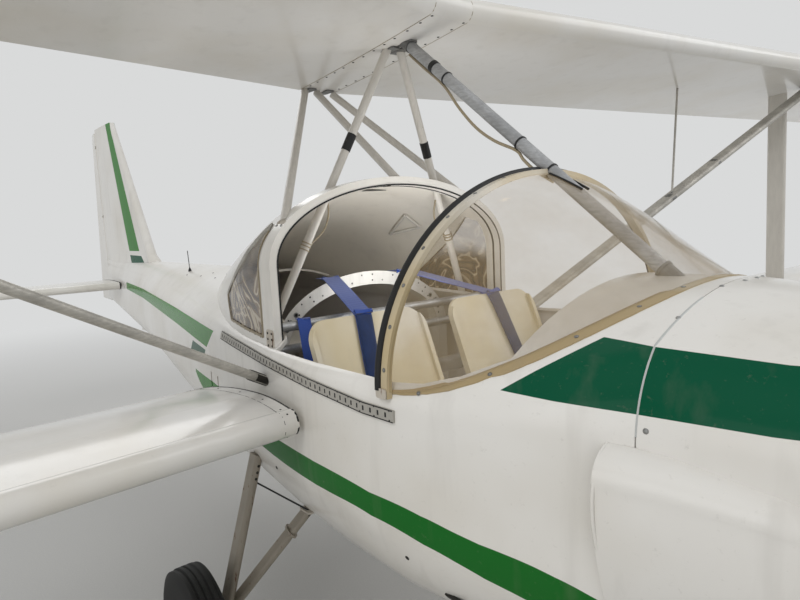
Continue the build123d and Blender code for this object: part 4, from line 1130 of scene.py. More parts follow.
@dataclass
class Body:
    """Moulded hull, cowling, roof and tail surfaces with their fasteners."""
    middle_z: float = 950.0
    roof_z: float = 1150.0
    above: float = 1600.0
    beside: float = 900.0
    deck_screws: Places = ((-1604, 160), (-1400, 165), (-1188, 180), (-984, 186), (-1327, 130),
                                      (-1147, 136))
    belly_screws: Places = ((1, 742), (649, 722))
    cowl_screws: Places = ((1127, 272), (1131, 102), (1146, 30), (1146, 421))
    bracket: Point = (746.0, 500.0, 648.0)
    bracket_size: Point = (54, 14, 8)
    bracket_lift: float = 4.0

    def build(self) -> None:
        """Smooth skins first, then what is screwed to them."""
        for node, name, finish, sharp, inner, inside in (
                ("fuselage_hull", "hull_skin", HULL_COAT, 32, LINER, self.middle_z),
                ("cowling", "cowling_skin", COWL_COAT, 40, LINER, self.middle_z),
                ("roof_shell", "roof_skin", GELCOAT, 32, INNER_LIGHT, self.roof_z),
                ("fin", "fin_skin", FIN_COAT, 32, None, 0.0)):
            smooth_copy(node, name, finish, "airframe", sharp, inner, inside)
        smooth_copy("spinner", "spinner_skin", GELCOAT, "propeller", 40)
        repaint(GELCOAT, "rear_arch", "ventral_fin", "rudder", "tailplane_left", "tailplane_right")
        self.fasteners()

    def fasteners(self) -> None:
        """Screws along the cowling's rear edge, on the deck and the belly, and the belly's brackets."""
        shell = Skin("fuselage_hull", "cowling")
        for name, places in (("cowling_screws", self.cowl_screws), ("deck_screws", self.deck_screws)):
            studded(name, shell.hits((st(x, side * y, self.above), DOWN) for x, y in places for side in SIDES))
        studded("belly_screws", shell.hits((st(x, side * self.beside, z), Vector((0, -side, 0)))
                                           for x, z in self.belly_screws for side in SIDES))
        steps = []
        for side in SIDES:
            x, y, z = self.bracket
            spot, normal = shell.near(st(x, side * y, z))
            steps.append(plate(spot + normal * (self.bracket_lift / MM), AHEAD, normal.cross(AHEAD),
                               self.bracket_size))
        fitted("belly_brackets", merged(steps), DARK_METAL)


@dataclass
class Windshield:
    """Bubble in front of the cabin: sheet, hoop seal, flange and its screws."""
    rear_x: float = 650.0
    ridge_x: float = 1068.6
    centre_x: float = 600.0
    length: float = 470.0
    half: float = 586.0
    top_z: float = 1591.0
    deck_z: float = 1324.0
    foot_z: float = 1110.0
    fall: float = 1.2226
    peak: float = 1.38
    hoop_x: float = 624.0
    thick: float = 3.0
    rows: int = 44
    steps: int = 72
    slot: float = 42.0
    band_lift: float = 2.5
    band_sink: float = 0.8
    band_steps: int = 120
    seal: Place = (18.0, 16.0)
    seal_x: float = 620.0
    seal_turns: Places = ((0.6, 87.9), (92.1, 179.4))
    grow: float = 3.0
    edging: Place = (7.0, 6.0)
    edging_y: float = 20.5
    edging_reach: float = 30.0
    screw_x: float = 639.0
    screw_turns: Tuple[float, ...] = (15, 33, 51, 65, 77)
    foot_plate: Point = (34, 22, 3)
    foot_place: Point = (632.0, 592.0, 1109.0)

    def spot(self, x: float, turn: float) -> Vector:
        """Point of the sheet's outside.

        Args:
            x: Station in millimetres.
            turn: From 0 at the port foot over 90 degrees at the ridge to 180 at starboard.

        Returns:
            The point in the frame.
        """
        share = (x - self.hoop_x) / (self.ridge_x - self.hoop_x)
        plan = math.sqrt(max(0.0, 1 - ((x - self.centre_x) / self.length) ** 2))
        foot = self.deck_z - (self.deck_z - self.foot_z) * plan ** 2
        rise = max(self.top_z - (self.top_z - self.deck_z) * share ** self.fall - foot, 1.0)
        power = 2 / (2 + (self.peak - 2) * min(share, 1.0))
        c, s = math.cos(turn), math.sin(turn)
        return st(x, math.copysign(self.half * plan * abs(c) ** power, c), foot + rise * abs(s) ** power)

    def outline(self, deck: Skin) -> List[Vector]:
        """Points of the sheet's outside, row by row, none below the flange.

        Args:
            deck: The surface under the sheet.

        Returns:
            The points.
        """
        outer: List[Vector] = []
        for i in range(self.rows + 1):
            share = math.sin(math.pi / 2 * i / self.rows)
            x = self.rear_x + (self.centre_x + self.length - 1.0 - self.rear_x) * share
            for j in range(self.steps + 1):
                spot = self.spot(x, math.pi * j / self.steps)
                found = deck.cast(Vector((spot.x, spot.y, 2.0)), DOWN)
                if found and found[0].z > 1.0:
                    spot.z = max(spot.z, found[0].z + self.band_lift / MM + 0.0008)
                outer.append(spot)
        return outer

    def sheet(self, deck: Skin) -> None:
        """Smooth sheet with its foot on the deck, slotted for the brace.

        Args:
            deck: The surface under the sheet.
        """
        width = self.steps + 1
        faces = [(i * width + j, i * width + j + 1, (i + 1) * width + j + 1, (i + 1) * width + j)
                 for i in range(self.rows) for j in range(self.steps)]
        made = piece("windshield_sheet", self.outline(deck), faces, CLEAR, 60)
        face = made.data.polygons[len(made.data.polygons) // 2]
        if face.normal.dot(face.center - Vector((face.center.x, 0, 1.1))) < 0:
            made.data.flip_normals()
        wall = made.modifiers.new("wall", "SOLIDIFY")
        wall.thickness = self.thick / MM
        wall.offset = -1
        cutter = piece("brace_cutter", *swept(list(Brace.line()), self.slot, self.slot, PORT, sides=32), CLEAR)
        cut = made.modifiers.new("slot", "BOOLEAN")
        cut.object = cutter
        cut.solver = "EXACT"
        mesh = bpy.data.meshes.new_from_object(made.evaluated_get(bpy.context.evaluated_depsgraph_get()))
        made.modifiers.clear()
        made.data = mesh
        bpy.data.objects.remove(cutter)
        soften(mesh, 40)
        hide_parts("windshield")
        settle(made, "airframe")

    def foot_line(self, deck: Skin, turn: float, out: float) -> Spot:
        """Point of the deck along the windshield's foot, and the deck's normal.

        Args:
            deck: The surface that carries the foot.
            turn: Place round the plan, from 0 at port over 90 degrees at the nose to 180, in radians.
            out: Distance outwards from the foot, in millimetres.

        Returns:
            The point and the normal.
        """
        x = self.centre_x + (self.length + out) * math.sin(turn)
        y = (self.half + out) * math.cos(turn)
        foot = self.spot(min(x, self.centre_x + self.length - 1), 0.0 if y > 0 else math.pi).z
        return deck.near(Vector((x / MM + SHIFT, y / MM, foot + 0.004)))

    def band(self, turn: float) -> Place:
        """Inner and outer edge of the flange at a place round the plan, in millimetres from the foot."""
        ahead = max(math.sin(turn), 0.0)
        return -12 - 10 * ahead, 7 + 27 * math.sin(min(ahead * 1.45, 1.0) * math.pi / 2) * (1 - 0.45 * ahead ** 12)

    def flange(self, deck: Skin) -> None:
        """Strip under the sheet's foot that follows the deck and widens ahead of the hoop.

        Args:
            deck: The surface that carries it.
        """
        first = math.degrees(math.asin((self.rear_x - 14 - self.centre_x) / self.length))
        verts: List[Vector] = []
        for i in range(self.band_steps + 1):
            turn = math.radians(first + (180 - 2 * first) * i / self.band_steps)
            inner, outer = self.band(turn)
            row = [self.foot_line(deck, turn, inner + (outer - inner) * j / 4) for j in range(5)]
            up = sum((normal for _, normal in row), Vector()).normalized()
            up = up if up.dot(Vector((math.sin(turn), math.cos(turn), 1.0))) > 0 else -up
            verts += [spot - up * (self.band_sink / MM) for spot, _ in row]
            verts += [spot + up * (self.band_lift / MM) for spot, _ in reversed(row)]
        faces = loop_faces(self.band_steps + 1, 10, False, True)
        made = piece("windshield_flange_strip", verts, faces, FLANGE, 50)
        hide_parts("windshield_flange")
        settle(made, "airframe")

    def hoop_line(self, first: float, last: float, count: int = 60) -> List[Vector]:
        """Points along the hoop's rear edge.

        Args:
            first: First angle in degrees.
            last: Last angle.
            count: How many points.

        Returns:
            The points.
        """
        rise = self.top_z - self.foot_z + self.grow
        turns = [math.radians(first + (last - first) * i / (count - 1)) for i in range(count)]
        return [st(self.seal_x, (self.half + self.grow) * math.cos(t), self.foot_z + rise * math.sin(t))
                for t in turns]

    def seals(self) -> None:
        """Rubber over the hoop's rear edge, and edging along the brace's slot."""
        fitted("hoop_seal", merged(swept(self.hoop_line(*turns), *self.seal, AHEAD) for turns in self.seal_turns),
               RUBBER_AND_PAINTED_SHADE)
        tilt = math.acos(self.edging_y / self.half)
        lines = []
        for turn in (tilt, math.pi - tilt):
            points = [spot for x in range(654, 850, 12)
                      if abs((spot := self.spot(x, turn)).z - Brace.height(x)) < self.edging_reach / MM]
            if len(points) > 1:
                lines.append(swept(points, *self.edging, UP))
        fitted("brace_slot_edging", merged(lines), RUBBER_AND_PAINTED_SHADE)

    def screws(self, deck: Skin) -> None:
        """Screws with washers along the flange and up the hoop, and a bracket at each hoop foot.

        Args:
            deck: The surface that carries the flange.
        """
        spots = []
        for turn in self.screw_turns + tuple(180 - turn for turn in self.screw_turns):
            angle = math.radians(turn)
            spot, normal = self.foot_line(deck, angle, sum(self.band(angle)) / 2 + 8)
            spots.append((spot + normal * (self.band_lift / MM), normal))
        rise = self.top_z - self.foot_z + self.grow
        for turn in list(range(7, 84, 11)) + list(range(97, 176, 11)):
            angle = math.radians(turn)
            way = Vector((0, math.cos(angle), math.sin(angle)))
            spots.append((st(self.screw_x, (self.half + self.grow) * way.y, self.foot_z + rise * way.z), way))
        studded("flange_washers", spots)
        studded("flange_screws", spots)
        x, y, z = self.foot_place
        brackets = merged(plate(st(x, side * y, z), AHEAD, UP, self.foot_plate) for side in SIDES)
        fitted("hoop_foot_brackets", brackets, RUSTY)

    def build(self) -> None:
        """Sheet, flange, seals and screws."""
        deck = Skin("fuselage_hull", "cowling")
        self.sheet(deck)
        self.flange(deck)
        self.seals()
        repaint(HOOP_COAT, "windshield_hoop")
        self.screws(deck)


@dataclass
class Brace:
    """Tube from the upper wing's centre to the nose deck, with the conduit tied under it."""
    top: Point = (79.8, 0.0, 2053.1)
    foot: Point = (1010.0, 0.0, 1294.4)
    radius: float = 18.0
    ties: Tuple[float, ...] = (0.2, 0.5, 0.61)
    tie_half: float = 0.0022
    knot_half: float = 0.001
    tape: Place = (0.135, 0.15)
    sockets: Tuple[Tuple[Place, float], ...] = (((0.945, 0.985), 5), ((0.0, 0.03), 6), ((0.94, 0.946), 9))
    conduit: float = 9.0
    route: Places = ((0.035, 23), (0.1, 24), (0.2, 24), (0.28, 44), (0.36, 54), (0.43, 46), (0.5, 24),
                                (0.53, 30), (0.57, 31), (0.61, 24), (0.63, 20))

    @staticmethod
    def line() -> Tuple[Vector, Vector]:
        """Both ends of the tube's axis."""
        return st(*Brace.top), st(*Brace.foot)

    @staticmethod
    def height(x: float) -> float:
        """Height of the axis at a station, in metres."""
        start, end = Brace.top, Brace.foot
        return (start[2] + (end[2] - start[2]) * (x - start[0]) / (end[0] - start[0])) / MM

    def build(self) -> None:
        """Sleeves, ties, foot socket and conduit."""
        a, b = self.line()
        wide = 2 * self.radius

        def sleeve(span: Place, size: float, sides: int = 28) -> Shape:
            """Round sleeve over a span of the tube, its size across in millimetres."""
            return swept(between(a, b, span), size, size, PORT, sides=sides)

        ties = [sleeve((share - self.tie_half, share + self.tie_half), wide + 4) for share in self.ties]
        ties += [sleeve((share - self.knot_half, share + self.knot_half), 7, 16) for share in self.ties]
        fitted("brace_ties", merged(ties), PLASTIC)
        fitted("brace_tape", sleeve(self.tape, wide + 3), TAPE)
        fitted("brace_sockets", merged(sleeve(span, wide + grow) for span, grow in self.sockets), CAST_METAL)
        down = Vector((b - a).normalized().cross(PORT))
        down = down if down.z < 0 else -down
        points = [a.lerp(b, share) + down * (sag / MM) for share, sag in self.route]
        fitted("brace_conduit", swept(smooth_line(points, 5), self.conduit, self.conduit, PORT, sides=10), CONDUIT)


@dataclass
class Cabane:
    """Trim of the tubes that carry the upper wing: tape, ties, foot plates and rust."""
    top: Point = (22.5, 18.7, 2060.0)
    foot: Point = (-140.3, 451.6, 1130.0)
    radius: float = 14.0
    tape_shares: Place = (0.357, 0.344)
    tape_half: float = 0.028
    ties: Tuple[float, ...] = (0.69, 0.7, 0.712)
    tie_half: float = 0.002
    loop: Places = ((0.55, 0.016), (0.6, 0.04), (0.65, 0.045), (0.69, 0.02), (0.7, 0.016))
    loop_wide: float = 6.0
    plate_place: Point = (0.0, 462.0, 1478.0)
    plate_size: Point = (46, 40, 4)
    bolt_offset: float = 0.014
    pad_size: Point = (70, 34, 5)
    pads: Places = ((22, 19), (22, -19), (-462, 40), (-462, -40), (88, 0))

    def build(self) -> None:
        """Bands round the front tubes and plates at the feet."""
        wide = 2 * self.radius + 3
        bands, ties, plates, bolts = [], [], [], []
        for side, share in zip((-1, 1), reversed(self.tape_shares)):
            a, b, foot = [st(x, side * y, z) for x, y, z in (self.top, self.foot, self.plate_place)]
            bands.append(swept(between(a, b, (share - self.tape_half, share + self.tape_half)), wide, wide, AHEAD,
                               sides=24))
            for tie in self.ties:
                ties.append(swept(between(a, b, (tie - self.tie_half, tie + self.tie_half)), wide + 4, wide + 4,
                                  AHEAD, sides=20))
            route = [a.lerp(b, s) + Vector((0, -side * d, 0)) for s, d in self.loop]
            ties.append(swept(smooth_line(route, 5), self.loop_wide, self.loop_wide, AHEAD, sides=8))
            plates.append(plate(foot, AHEAD, Vector((0, side * 0.55, -0.83)), self.plate_size))
            bolts += [(foot + Vector((dx, side * 0.0024, 0.002)), Vector((0, side * 0.83, 0.55)))
                      for dx in (-self.bolt_offset, self.bolt_offset)]
        fitted("cabane_tape", merged(bands), TAPE)
        fitted("cabane_ties", merged(ties), CONDUIT)
        fitted("cabane_foot_plates", merged(plates), RUSTY)
        studded("cabane_foot_bolts", bolts)
        wing = Skin("upper_wing_centre", "upper_wing_left", "upper_wing_right")
        found = wing.hits((st(x, y, 1700), UP) for x, y in self.pads)
        fitted("upper_wing_pads", merged(plate(spot - Vector((0, 0, 0.001)), AHEAD, PORT, self.pad_size)
                                         for spot, _ in found), CAST_METAL)


def contour(skin: Skin, y: float, first: float, last: float, count: int) -> List[Spot]:
    """Points and normals round a wing's section at one place along the span.

    Args:
        skin: The wing's surface.
        y: Place along the span in millimetres.
        first: Station of the trailing end.
        last: Station of the leading end.
        count: Points on each face.

    Returns:
        The top from rear to front, then the bottom from front to rear.
    """
    stations = [first + (last - first) * (0.5 - 0.5 * math.cos(math.pi * i / (count - 1))) for i in range(count)]
    top = skin.hits((st(x, y, 3000), DOWN) for x in stations)
    return top + skin.hits((st(x, y, -200), UP) for x in stations)[::-1]


def belt(skin: Skin, y: float, wide: float, first: float, last: float, lift: float, slope: float = 0.15) -> Shape:
    """Thin closed strip round a wing's section.

    Args:
        skin: The wing's surface.
        y: Middle of the strip along the span, in millimetres.
        wide: The strip's width.
        first: Station of its trailing end at the middle line of the aircraft.
        last: Station of its leading end there.
        lift: How far it stands proud.
        slope: Sweep of the wing.

    Returns:
        Points and faces.
    """
    shift = slope * abs(y)
    ring = contour(skin, y, first + shift, last + shift, 26)
    verts = [spot + Vector((0, along / MM, 0)) + normal * (up / MM) for spot, normal in ring
             for along, up in ((-wide / 2, -0.6), (wide / 2, -0.6), (wide / 2, lift), (-wide / 2, lift))]
    return verts, loop_faces(len(ring), 4, True, False)


def spaced(ring: Sequence[Spot], gap: float) -> List[Spot]:
    """Those places of a ring that are far enough apart.

    Args:
        ring: The places in order.
        gap: Least distance in millimetres.

    Returns:
        The places that are kept.
    """
    kept: List[Spot] = []
    for spot in ring:
        if all((spot[0] - other[0]).length > gap / MM for other in kept[-3:]):
            kept.append(spot)
    return kept


@dataclass
class Wings:
    """Trim of both wings: root strips, gap strips, rivets, strut cuffs and fittings."""
    root_y: float = 592.0
    root_ends: Place = (-580, 177.6)
    rivet_ends: Place = (-472, 255)
    strip: float = 45.0
    gap_half: float = 76.0
    gap_ends: Place = (-484, 299)
    gap_rivets: Place = (-470, 280)
    rivet_gap: float = 50.0
    strut_root: Point = (-16.0, 534.0, 1013.0)
    strut_top: Point = (483.0, 2475.0, 2084.0)
    cuff: Place = (68.0, 32.0)
    cuff_spans: Places = ((0.002, 0.03), (0.972, 0.996))
    clamp: Place = (65.5, 29.5)
    clamp_spans: Places = ((0.47, 0.482), (0.621, 0.629))
    jury_foot: Point = (226.0, 1474.0, 1532.0)
    jury_top: Point = (168.0, 1636.0, 2080.0)
    jury_clamp: float = 14.0
    jury_spans: Places = ((0.0, 0.03), (0.975, 1.0))

    def build(self) -> None:
        """Strips first, then the struts' fittings."""
        self.lower_roots()
        self.centre_gap()
        self.struts()

    def lower_roots(self) -> None:
        """Dark seam at the body, a line one strip out, and rivets between them."""
        for side, hand in zip(SIDES, HANDS):
            skin = Skin(f"lower_wing_{hand}")
            seams = [belt(skin, side * (self.root_y + 3), 5, *self.root_ends, 0.8),
                     belt(skin, side * (self.root_y + self.strip), 1.6, *self.root_ends, 0.3)]
            fitted(f"lower_wing_{hand}_root_seams", merged(seams), RUBBER_AND_PAINTED_SHADE, f"{hand}_lower_wing")
            spots = contour(skin, side * (self.root_y + self.strip * 0.6), *self.rivet_ends, 15)[::2]
            studded(f"lower_wing_{hand}_root_rivets", spots, f"{hand}_lower_wing", "root_rivets")

    def centre_gap(self) -> None:
        """Joint lines of the upper wing's centre section, with rivets on both sides of each."""
        wing = Skin("upper_wing_centre", "upper_wing_left", "upper_wing_right")
        lines, spots = [], []
        for side in SIDES:
            lines.append(belt(wing, side * self.gap_half, 2.2, *self.gap_ends, 0.5))
            spots += spaced(contour(wing, side * (self.gap_half - 11), *self.gap_rivets, 60), self.rivet_gap)
        fitted("upper_wing_joint_lines", merged(lines), CONDUIT)
        studded("upper_wing_rivets", spots)

    def struts(self) -> None:
        """Cuffs, clamps and jury fittings on the lift struts."""
        cuffs, clamps = [], []
        for side in SIDES:
            a, b, low, high = [st(x, side * y, z) for x, y, z in (self.strut_root, self.strut_top, self.jury_foot,
                                                                  self.jury_top)]
            cuffs += [swept(between(a, b, span), *self.cuff, AHEAD, sides=32) for span in self.cuff_spans]
            clamps += [swept(between(a, b, span), *self.clamp, AHEAD, sides=32) for span in self.clamp_spans]
            clamps += [swept(between(low, high, span), self.jury_clamp, self.jury_clamp, AHEAD)
                       for span in self.jury_spans]
        fitted("strut_cuffs", merged(cuffs), DARK_METAL)
        fitted("strut_clamps", merged(clamps), CAST_METAL)


@dataclass
class DoorRails:
    """Perforated rails along the body's sides: slots, rivets and edge lines."""
    pitch: float = 24.0
    beside: float = 1.3
    rivet_step: float = 0.012
    rivet_share: float = 0.4
    line_share: float = 0.47
    line: Place = (2.2, 1.6)

    def build(self) -> None:
        """Follows each rail from its rear end to its front end, on its outer face."""
        rail = Skin("door_rails")
        low, high = [Vector(corner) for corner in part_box("door_rails")]
        verts = [v.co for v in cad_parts["door_rails"].data.vertices]
        slots, rivets, lines = [], [], []
        for side in SIDES:
            ends = []
            for x in (low.x, high.x):
                near = [v.z for v in verts if v.y * side > 0 and abs(v.x - x) < 0.02]
                ends.append((x, (min(near) + max(near)) / 2, max(near) - min(near)))
            (x0, z0, tall), (x1, z1, _) = ends

            def rays(shares: Iterable[float], on: float, up: float) -> List[Spot]:
                """Places on the rail's face, at shares of its length, moved on along it and up by a share."""
                return rail.hits((Vector((x0 + (x1 - x0) * share + on, side * self.beside,
                                          z0 + (z1 - z0) * share + up * tall)), Vector((0, -side, 0)))
                                 for share in shares)

            count = int((x1 - x0) * MM / self.pitch)
            slots += rays([i / count for i in range(1, count)], 0.0, 0.0)
            for up in (-self.rivet_share, self.rivet_share):
                rivets += rays([i / count for i in range(1, count, 2)], self.rivet_step, up)
            for up in (-self.line_share, self.line_share):
                row = rays([0.002 + 0.996 * i / 60 for i in range(61)], 0.0, up)
                lines.append(swept([spot for spot, _ in row], *self.line, UP, square=True))
        repaint(RAIL_METAL, "door_rails")
        # Each slot is a thin black block on the rail's face: painted shade inside the slot.
        studded("rail_slot_shades", slots)
        studded("rail_rivets", rivets)
        fitted("rail_edge_lines", merged(lines), RUBBER_AND_PAINTED_SHADE)


@dataclass
class Cabin:
    """Trim round the cabin: arch groove and feet, bulkhead fasteners, window edging and dials."""
    arch_half: float = 520.0
    arch_spring: float = 1360.0
    arch_rise: float = 267.0
    arch_foot: float = 1130.0
    plate_place: Place = (521.0, 1142.0)
    plate_size: Point = (58, 44, 3)
    vent: Point = (14.0, -54.0, 1450.0)
    patch: Point = (-185.0, 41.0, 1400.0)
    patch_size: Point = (92, 46, 1.5)
    truss_corners: Tuple[Point, ...] = ((-449, 319, 1430), (-299, 283, 1507), (-304, 367, 1455))
    truss_wide: float = 13.0
    bulkhead_half: float = 400.0
    bulkhead_spring: float = 1050.0
    bulkhead_rise: float = 245.0
    rivet_insets: Place = (13.0, 35.0)
    rivet_arc: Place = (12.0, 168.0)
    rivet_count: int = 22
    ring_places: Places = ((314, 1170), (337, 1146), (354, 1122))
    edging_out: float = 1.022
    edging_lift: float = 0.0012
    window: Places = ((-60, 1146), (-60, 1460), (-100, 1480), (-428, 1248), (-400, 1160))
    dial_pitch: float = 0.105
    dial_rows: Place = (0.045, -0.05)

    def arch_line(self, x: float, inset: float) -> List[Vector]:
        """Points up one leg, over the arch and down the other.

        Args:
            x: Station in millimetres.
            inset: Distance inside the arch's outer face.

        Returns:
            The points.
        """
        half, rise, foot = self.arch_half - inset, self.arch_rise - inset, self.arch_foot
        leg = [st(x, half, foot + (self.arch_spring - foot) * i / 6) for i in range(6)]
        crown = [st(x, half * math.cos(t), self.arch_spring + rise * math.sin(t))
                 for t in [math.pi * i / 48 for i in range(49)]]
        return leg + crown + [Vector((p.x, -p.y, p.z)) for p in reversed(leg)]

    def arch(self) -> None:
        """Dark strips in the arch's grooves as painted shade, foot plates with rivets, vent and patch at the
        crown.
        """
        grooves = [swept(self.arch_line(x, inset), long, thick, AHEAD, square=True)
                   for x, inset, long, thick in ((25.6, 27, 4, 5), (-6, 30.4, 8, 2))]
        # The groove strips are black: painted shade in the grooves.
        fitted("arch_groove_shade", merged(grooves), RUBBER_AND_PAINTED_SHADE)
        feet, spots = [], []
        y, middle = self.plate_place
        for side in SIDES:
            feet.append(plate(st(0, side * y, middle), UP, AHEAD, self.plate_size))
            spots += [(st(x, side * (y + 1.5), z), Vector((0, side, 0)))
                      for x in (-12, 12) for z in (1122, 1142, 1160)]
        fitted("arch_foot_plates", merged(feet), RUSTY)
        studded("arch_foot_rivets", spots)
        studded("arch_vent", Skin("rear_arch").hits([(st(*self.vent), UP)]))
        for spot, normal in Skin("roof_shell").hits([(st(*self.patch), UP)]):
            fitted("roof_patch", plate(spot + normal * 0.001, PORT, AHEAD, self.patch_size), CAST_METAL)

    def truss(self) -> None:
        """Thin tubes of the frame inside the rear of the roof, on the port side."""
        roof = Skin("roof_shell")
        corners = []
        for x, y, z in self.truss_corners:
            found = roof.cast(st(x, y, 1200), UP)
            corners.append(st(x, y, min(z, found[0].z * MM - 9) if found else z))
        a, b, c = corners
        rods = merged(swept([p, q], self.truss_wide, self.truss_wide, AHEAD, sides=14)
                      for p, q in ((a, b), (b, c), (a, c)))
        fitted("roof_truss", rods, CABANE_PAINT)

    def bulkhead(self) -> None:
        """Pairs of rivets and holes round the bulkhead's flange, and three larger holes low on each side; each
        hole is a flat black disc, painted shade inside it.
        """
        face = Skin("bulkhead")
        rivets, holes = [], []
        first, last = self.rivet_arc
        for i in range(self.rivet_count):
            turn = math.radians(first + (last - first) * i / (self.rivet_count - 1))
            for inset in self.rivet_insets:
                if (i % 3 == 0) == (inset == self.rivet_insets[1]) or i % 3 == 1:
                    y = (self.bulkhead_half - inset) * math.cos(turn)
                    z = self.bulkhead_spring + (self.bulkhead_rise - inset) * math.sin(turn)
                    (holes if i % 2 else rivets).extend(face.hits([(st(100, y, z), AFT)]))
        rings = face.hits((st(100, side * y, z), AFT) for side in SIDES for y, z in self.ring_places)
        for name, spots in (("bulkhead_hole_shades", holes), ("bulkhead_rivets", rivets), ("bulkhead_rings", rings),
                            ("bulkhead_ring_hole_shades", rings)):
            studded(name, spots)

    def windows(self) -> None:
        """Edging round each quarter window, with small clips along its lower edge."""
        shell = Skin("roof_shell", "quarter_windows")
        frames, sealant, clips = [], [], []
        middle = [sum(corner[k] for corner in self.window) / len(self.window) for k in range(2)]
        corners = [tuple(m + (c - m) * self.edging_out for m, c in zip(middle, corner)) for corner in self.window]
        for side in SIDES:
            for i, ((ax, az), (bx, bz)) in enumerate(zip(corners, corners[1:] + corners[:1])):
                framed = i in (1, 2)
                row = []
                for k in range(15):
                    x, z = ax + (bx - ax) * k / 14, az + (bz - az) * k / 14
                    found = shell.cast(st(x, side * 1200, z), Vector((0, -side, 0)))
                    if found:
                        row.append(found[0] + found[1] * self.edging_lift)
                        if i in (3, 4) and k % 2 and k < 14:
                            clips.append(found)
                if len(row) > 2:
                    edging = swept(row, 12 if framed else 8, 2.8, Vector((0.3, 0, 1)), square=True)
                    (frames if framed else sealant).append(edging)
        fitted("window_frames", merged(frames), STRUT_METAL)
        fitted("window_sealant", merged(sealant), CONDUIT)
        studded("window_clips", clips)

    def dials(self) -> None:
        """Blank round instruments with bezels on the panel's rear face."""
        panel = Skin("instrument_panel")
        low, high = [Vector(corner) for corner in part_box("instrument_panel")]
        middle = (low.z + high.z) / 2
        spots = panel.hits((Vector((low.x - 0.2, k * self.dial_pitch, middle + up)), AHEAD)
                           for up in self.dial_rows for k in range(-2, 3))
        for name in ("dial_bezels", "dial_faces", "dial_needles"):
            studded(name, spots)

    def build(self) -> None:
        """Everything round the cabin."""
        self.arch()
        self.truss()
        self.bulkhead()
        self.windows()
        self.dials()
        repaint(CREAM, "seat_left", "seat_right")
        repaint(DULL_WHITE, "bulkhead", "parcel_shelf", "cabin_floor")
        repaint(CRAZED, "quarter_windows")


@dataclass
class Webbing:
    """Harness straps as woven sheets along the CAD straps' route, with a padded cover."""
    shoulder: Tuple[StrapRow, ...] = (
        (-246, 160, 1281.5, 66), (-198, 168, 1282.8, 66), (-160, 180, 1280, 66), (146, 284, 1206.5, 62),
        (161.5, 290, 1205, 60), (230, 318, 1038.5, 46), (300, 338, 868, 46))
    side: Tuple[StrapRow, ...] = (
        (-8, 402, 1188.1, 44), (10, 408, 1187.6, 44), (21, 412, 1174, 44), (100, 444, 1065, 44))
    thick: float = 2.6
    across: int = 12
    pad_top: Point = (165.0, 291.0, 1200.0)
    pad_foot: Point = (268.0, 328.0, 948.0)
    pad_half: float = 29.0
    pad_taper: float = 4.0
    pad_lift: float = 3.5
    pad_thick: float = 7.5
    pad_rows: int = 28
    pad_steps: int = 20

    def strap(self, rows: Sequence[StrapRow], hand: int) -> Tuple[List[Vector], List[Face], float]:
        """One strap with ribbed edges.

        Args:
            rows: Station, place across, height and width along the strap.
            hand: 1 for port, -1 for starboard.

        Returns:
            Points, faces and the strap's length in metres.
        """
        line = smooth_line([st(x, hand * y, z) for x, y, z, _ in rows], 8)
        last = len(line) - 1
        verts: List[Vector] = []
        for i, spot in enumerate(line):
            run = (line[min(i + 1, last)] - line[max(i - 1, 0)]).normalized()
            across = (PORT - run * run.y).normalized()
            up = run.cross(across)
            up = up if up.z > 0 or up.x > 0 else -up
            share = i / last * (len(rows) - 1)
            k = min(int(share), len(rows) - 2)
            wide = rows[k][3] + (rows[k + 1][3] - rows[k][3]) * (share - k)
            level = [spot + across * ((j / self.across - 0.5) * wide / MM) for j in range(self.across + 1)]
            verts += [place + up * (self.thick / MM + (0.0005 if j in (1, self.across - 1) else 0.0))
                      for j, place in enumerate(level)]
            verts += [place + up * 0.0003 for place in reversed(level)]
        length = sum((b - a).length for a, b in zip(line, line[1:]))
        return verts, loop_faces(len(line), 2 * (self.across + 1), False, True), length

    def pad(self, hand: int, name: str) -> Object:
        """Plain padded cover on the shoulder strap in front of the seat's back.

        Args:
            hand: 1 for port, -1 for starboard.
            name: The piece's name.

        Returns:
            The cover.
        """
        a, b = [st(x, hand * y, z) for x, y, z in (self.pad_top, self.pad_foot)]
        run = (b - a).normalized()
        across = (PORT - run * run.y).normalized()
        up = run.cross(across)
        up = up if up.x > 0 else -up
        verts: List[Vector] = []
        for i in range(self.pad_rows + 1):
            share = i / self.pad_rows
            crown = 0.35 + 0.65 * (1 - abs(2 * share - 1) ** 6) + 0.05 * math.sin(share * math.pi * 9)
            wide = (self.pad_half - self.pad_taper * share) / MM
            for j in range(self.pad_steps):
                turn = 2 * math.pi * j / self.pad_steps
                c, s = math.cos(turn), math.sin(turn)
                verts.append(a.lerp(b, share) + up * (self.pad_lift / MM)
                             + across * (math.copysign(abs(c) ** 0.6, c) * wide)
                             + up * (math.copysign(abs(s) ** 0.8, s) * self.pad_thick / MM * crown))
        return piece(name, verts, loop_faces(self.pad_rows + 1, self.pad_steps, False, True), PAD_CLOTH)

    def build(self) -> None:
        """Both sides' straps and pads."""
        for hand, name in zip(SIDES, HANDS):
            shoulder = self.strap(self.shoulder, hand)
            short = self.strap(self.side, hand)
            made = piece(f"shoulder_strap_{name}", *shoulder[:2], WEBBING, 50)
            second = piece(f"side_strap_{name}", *short[:2], WEBBING, 50)
            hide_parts(f"harness_{name}")
            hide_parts(f"harness_{name}")
            pad = self.pad(hand, f"harness_pad_{name}")
            for part in (made, second, pad):
                settle(part, "airframe")


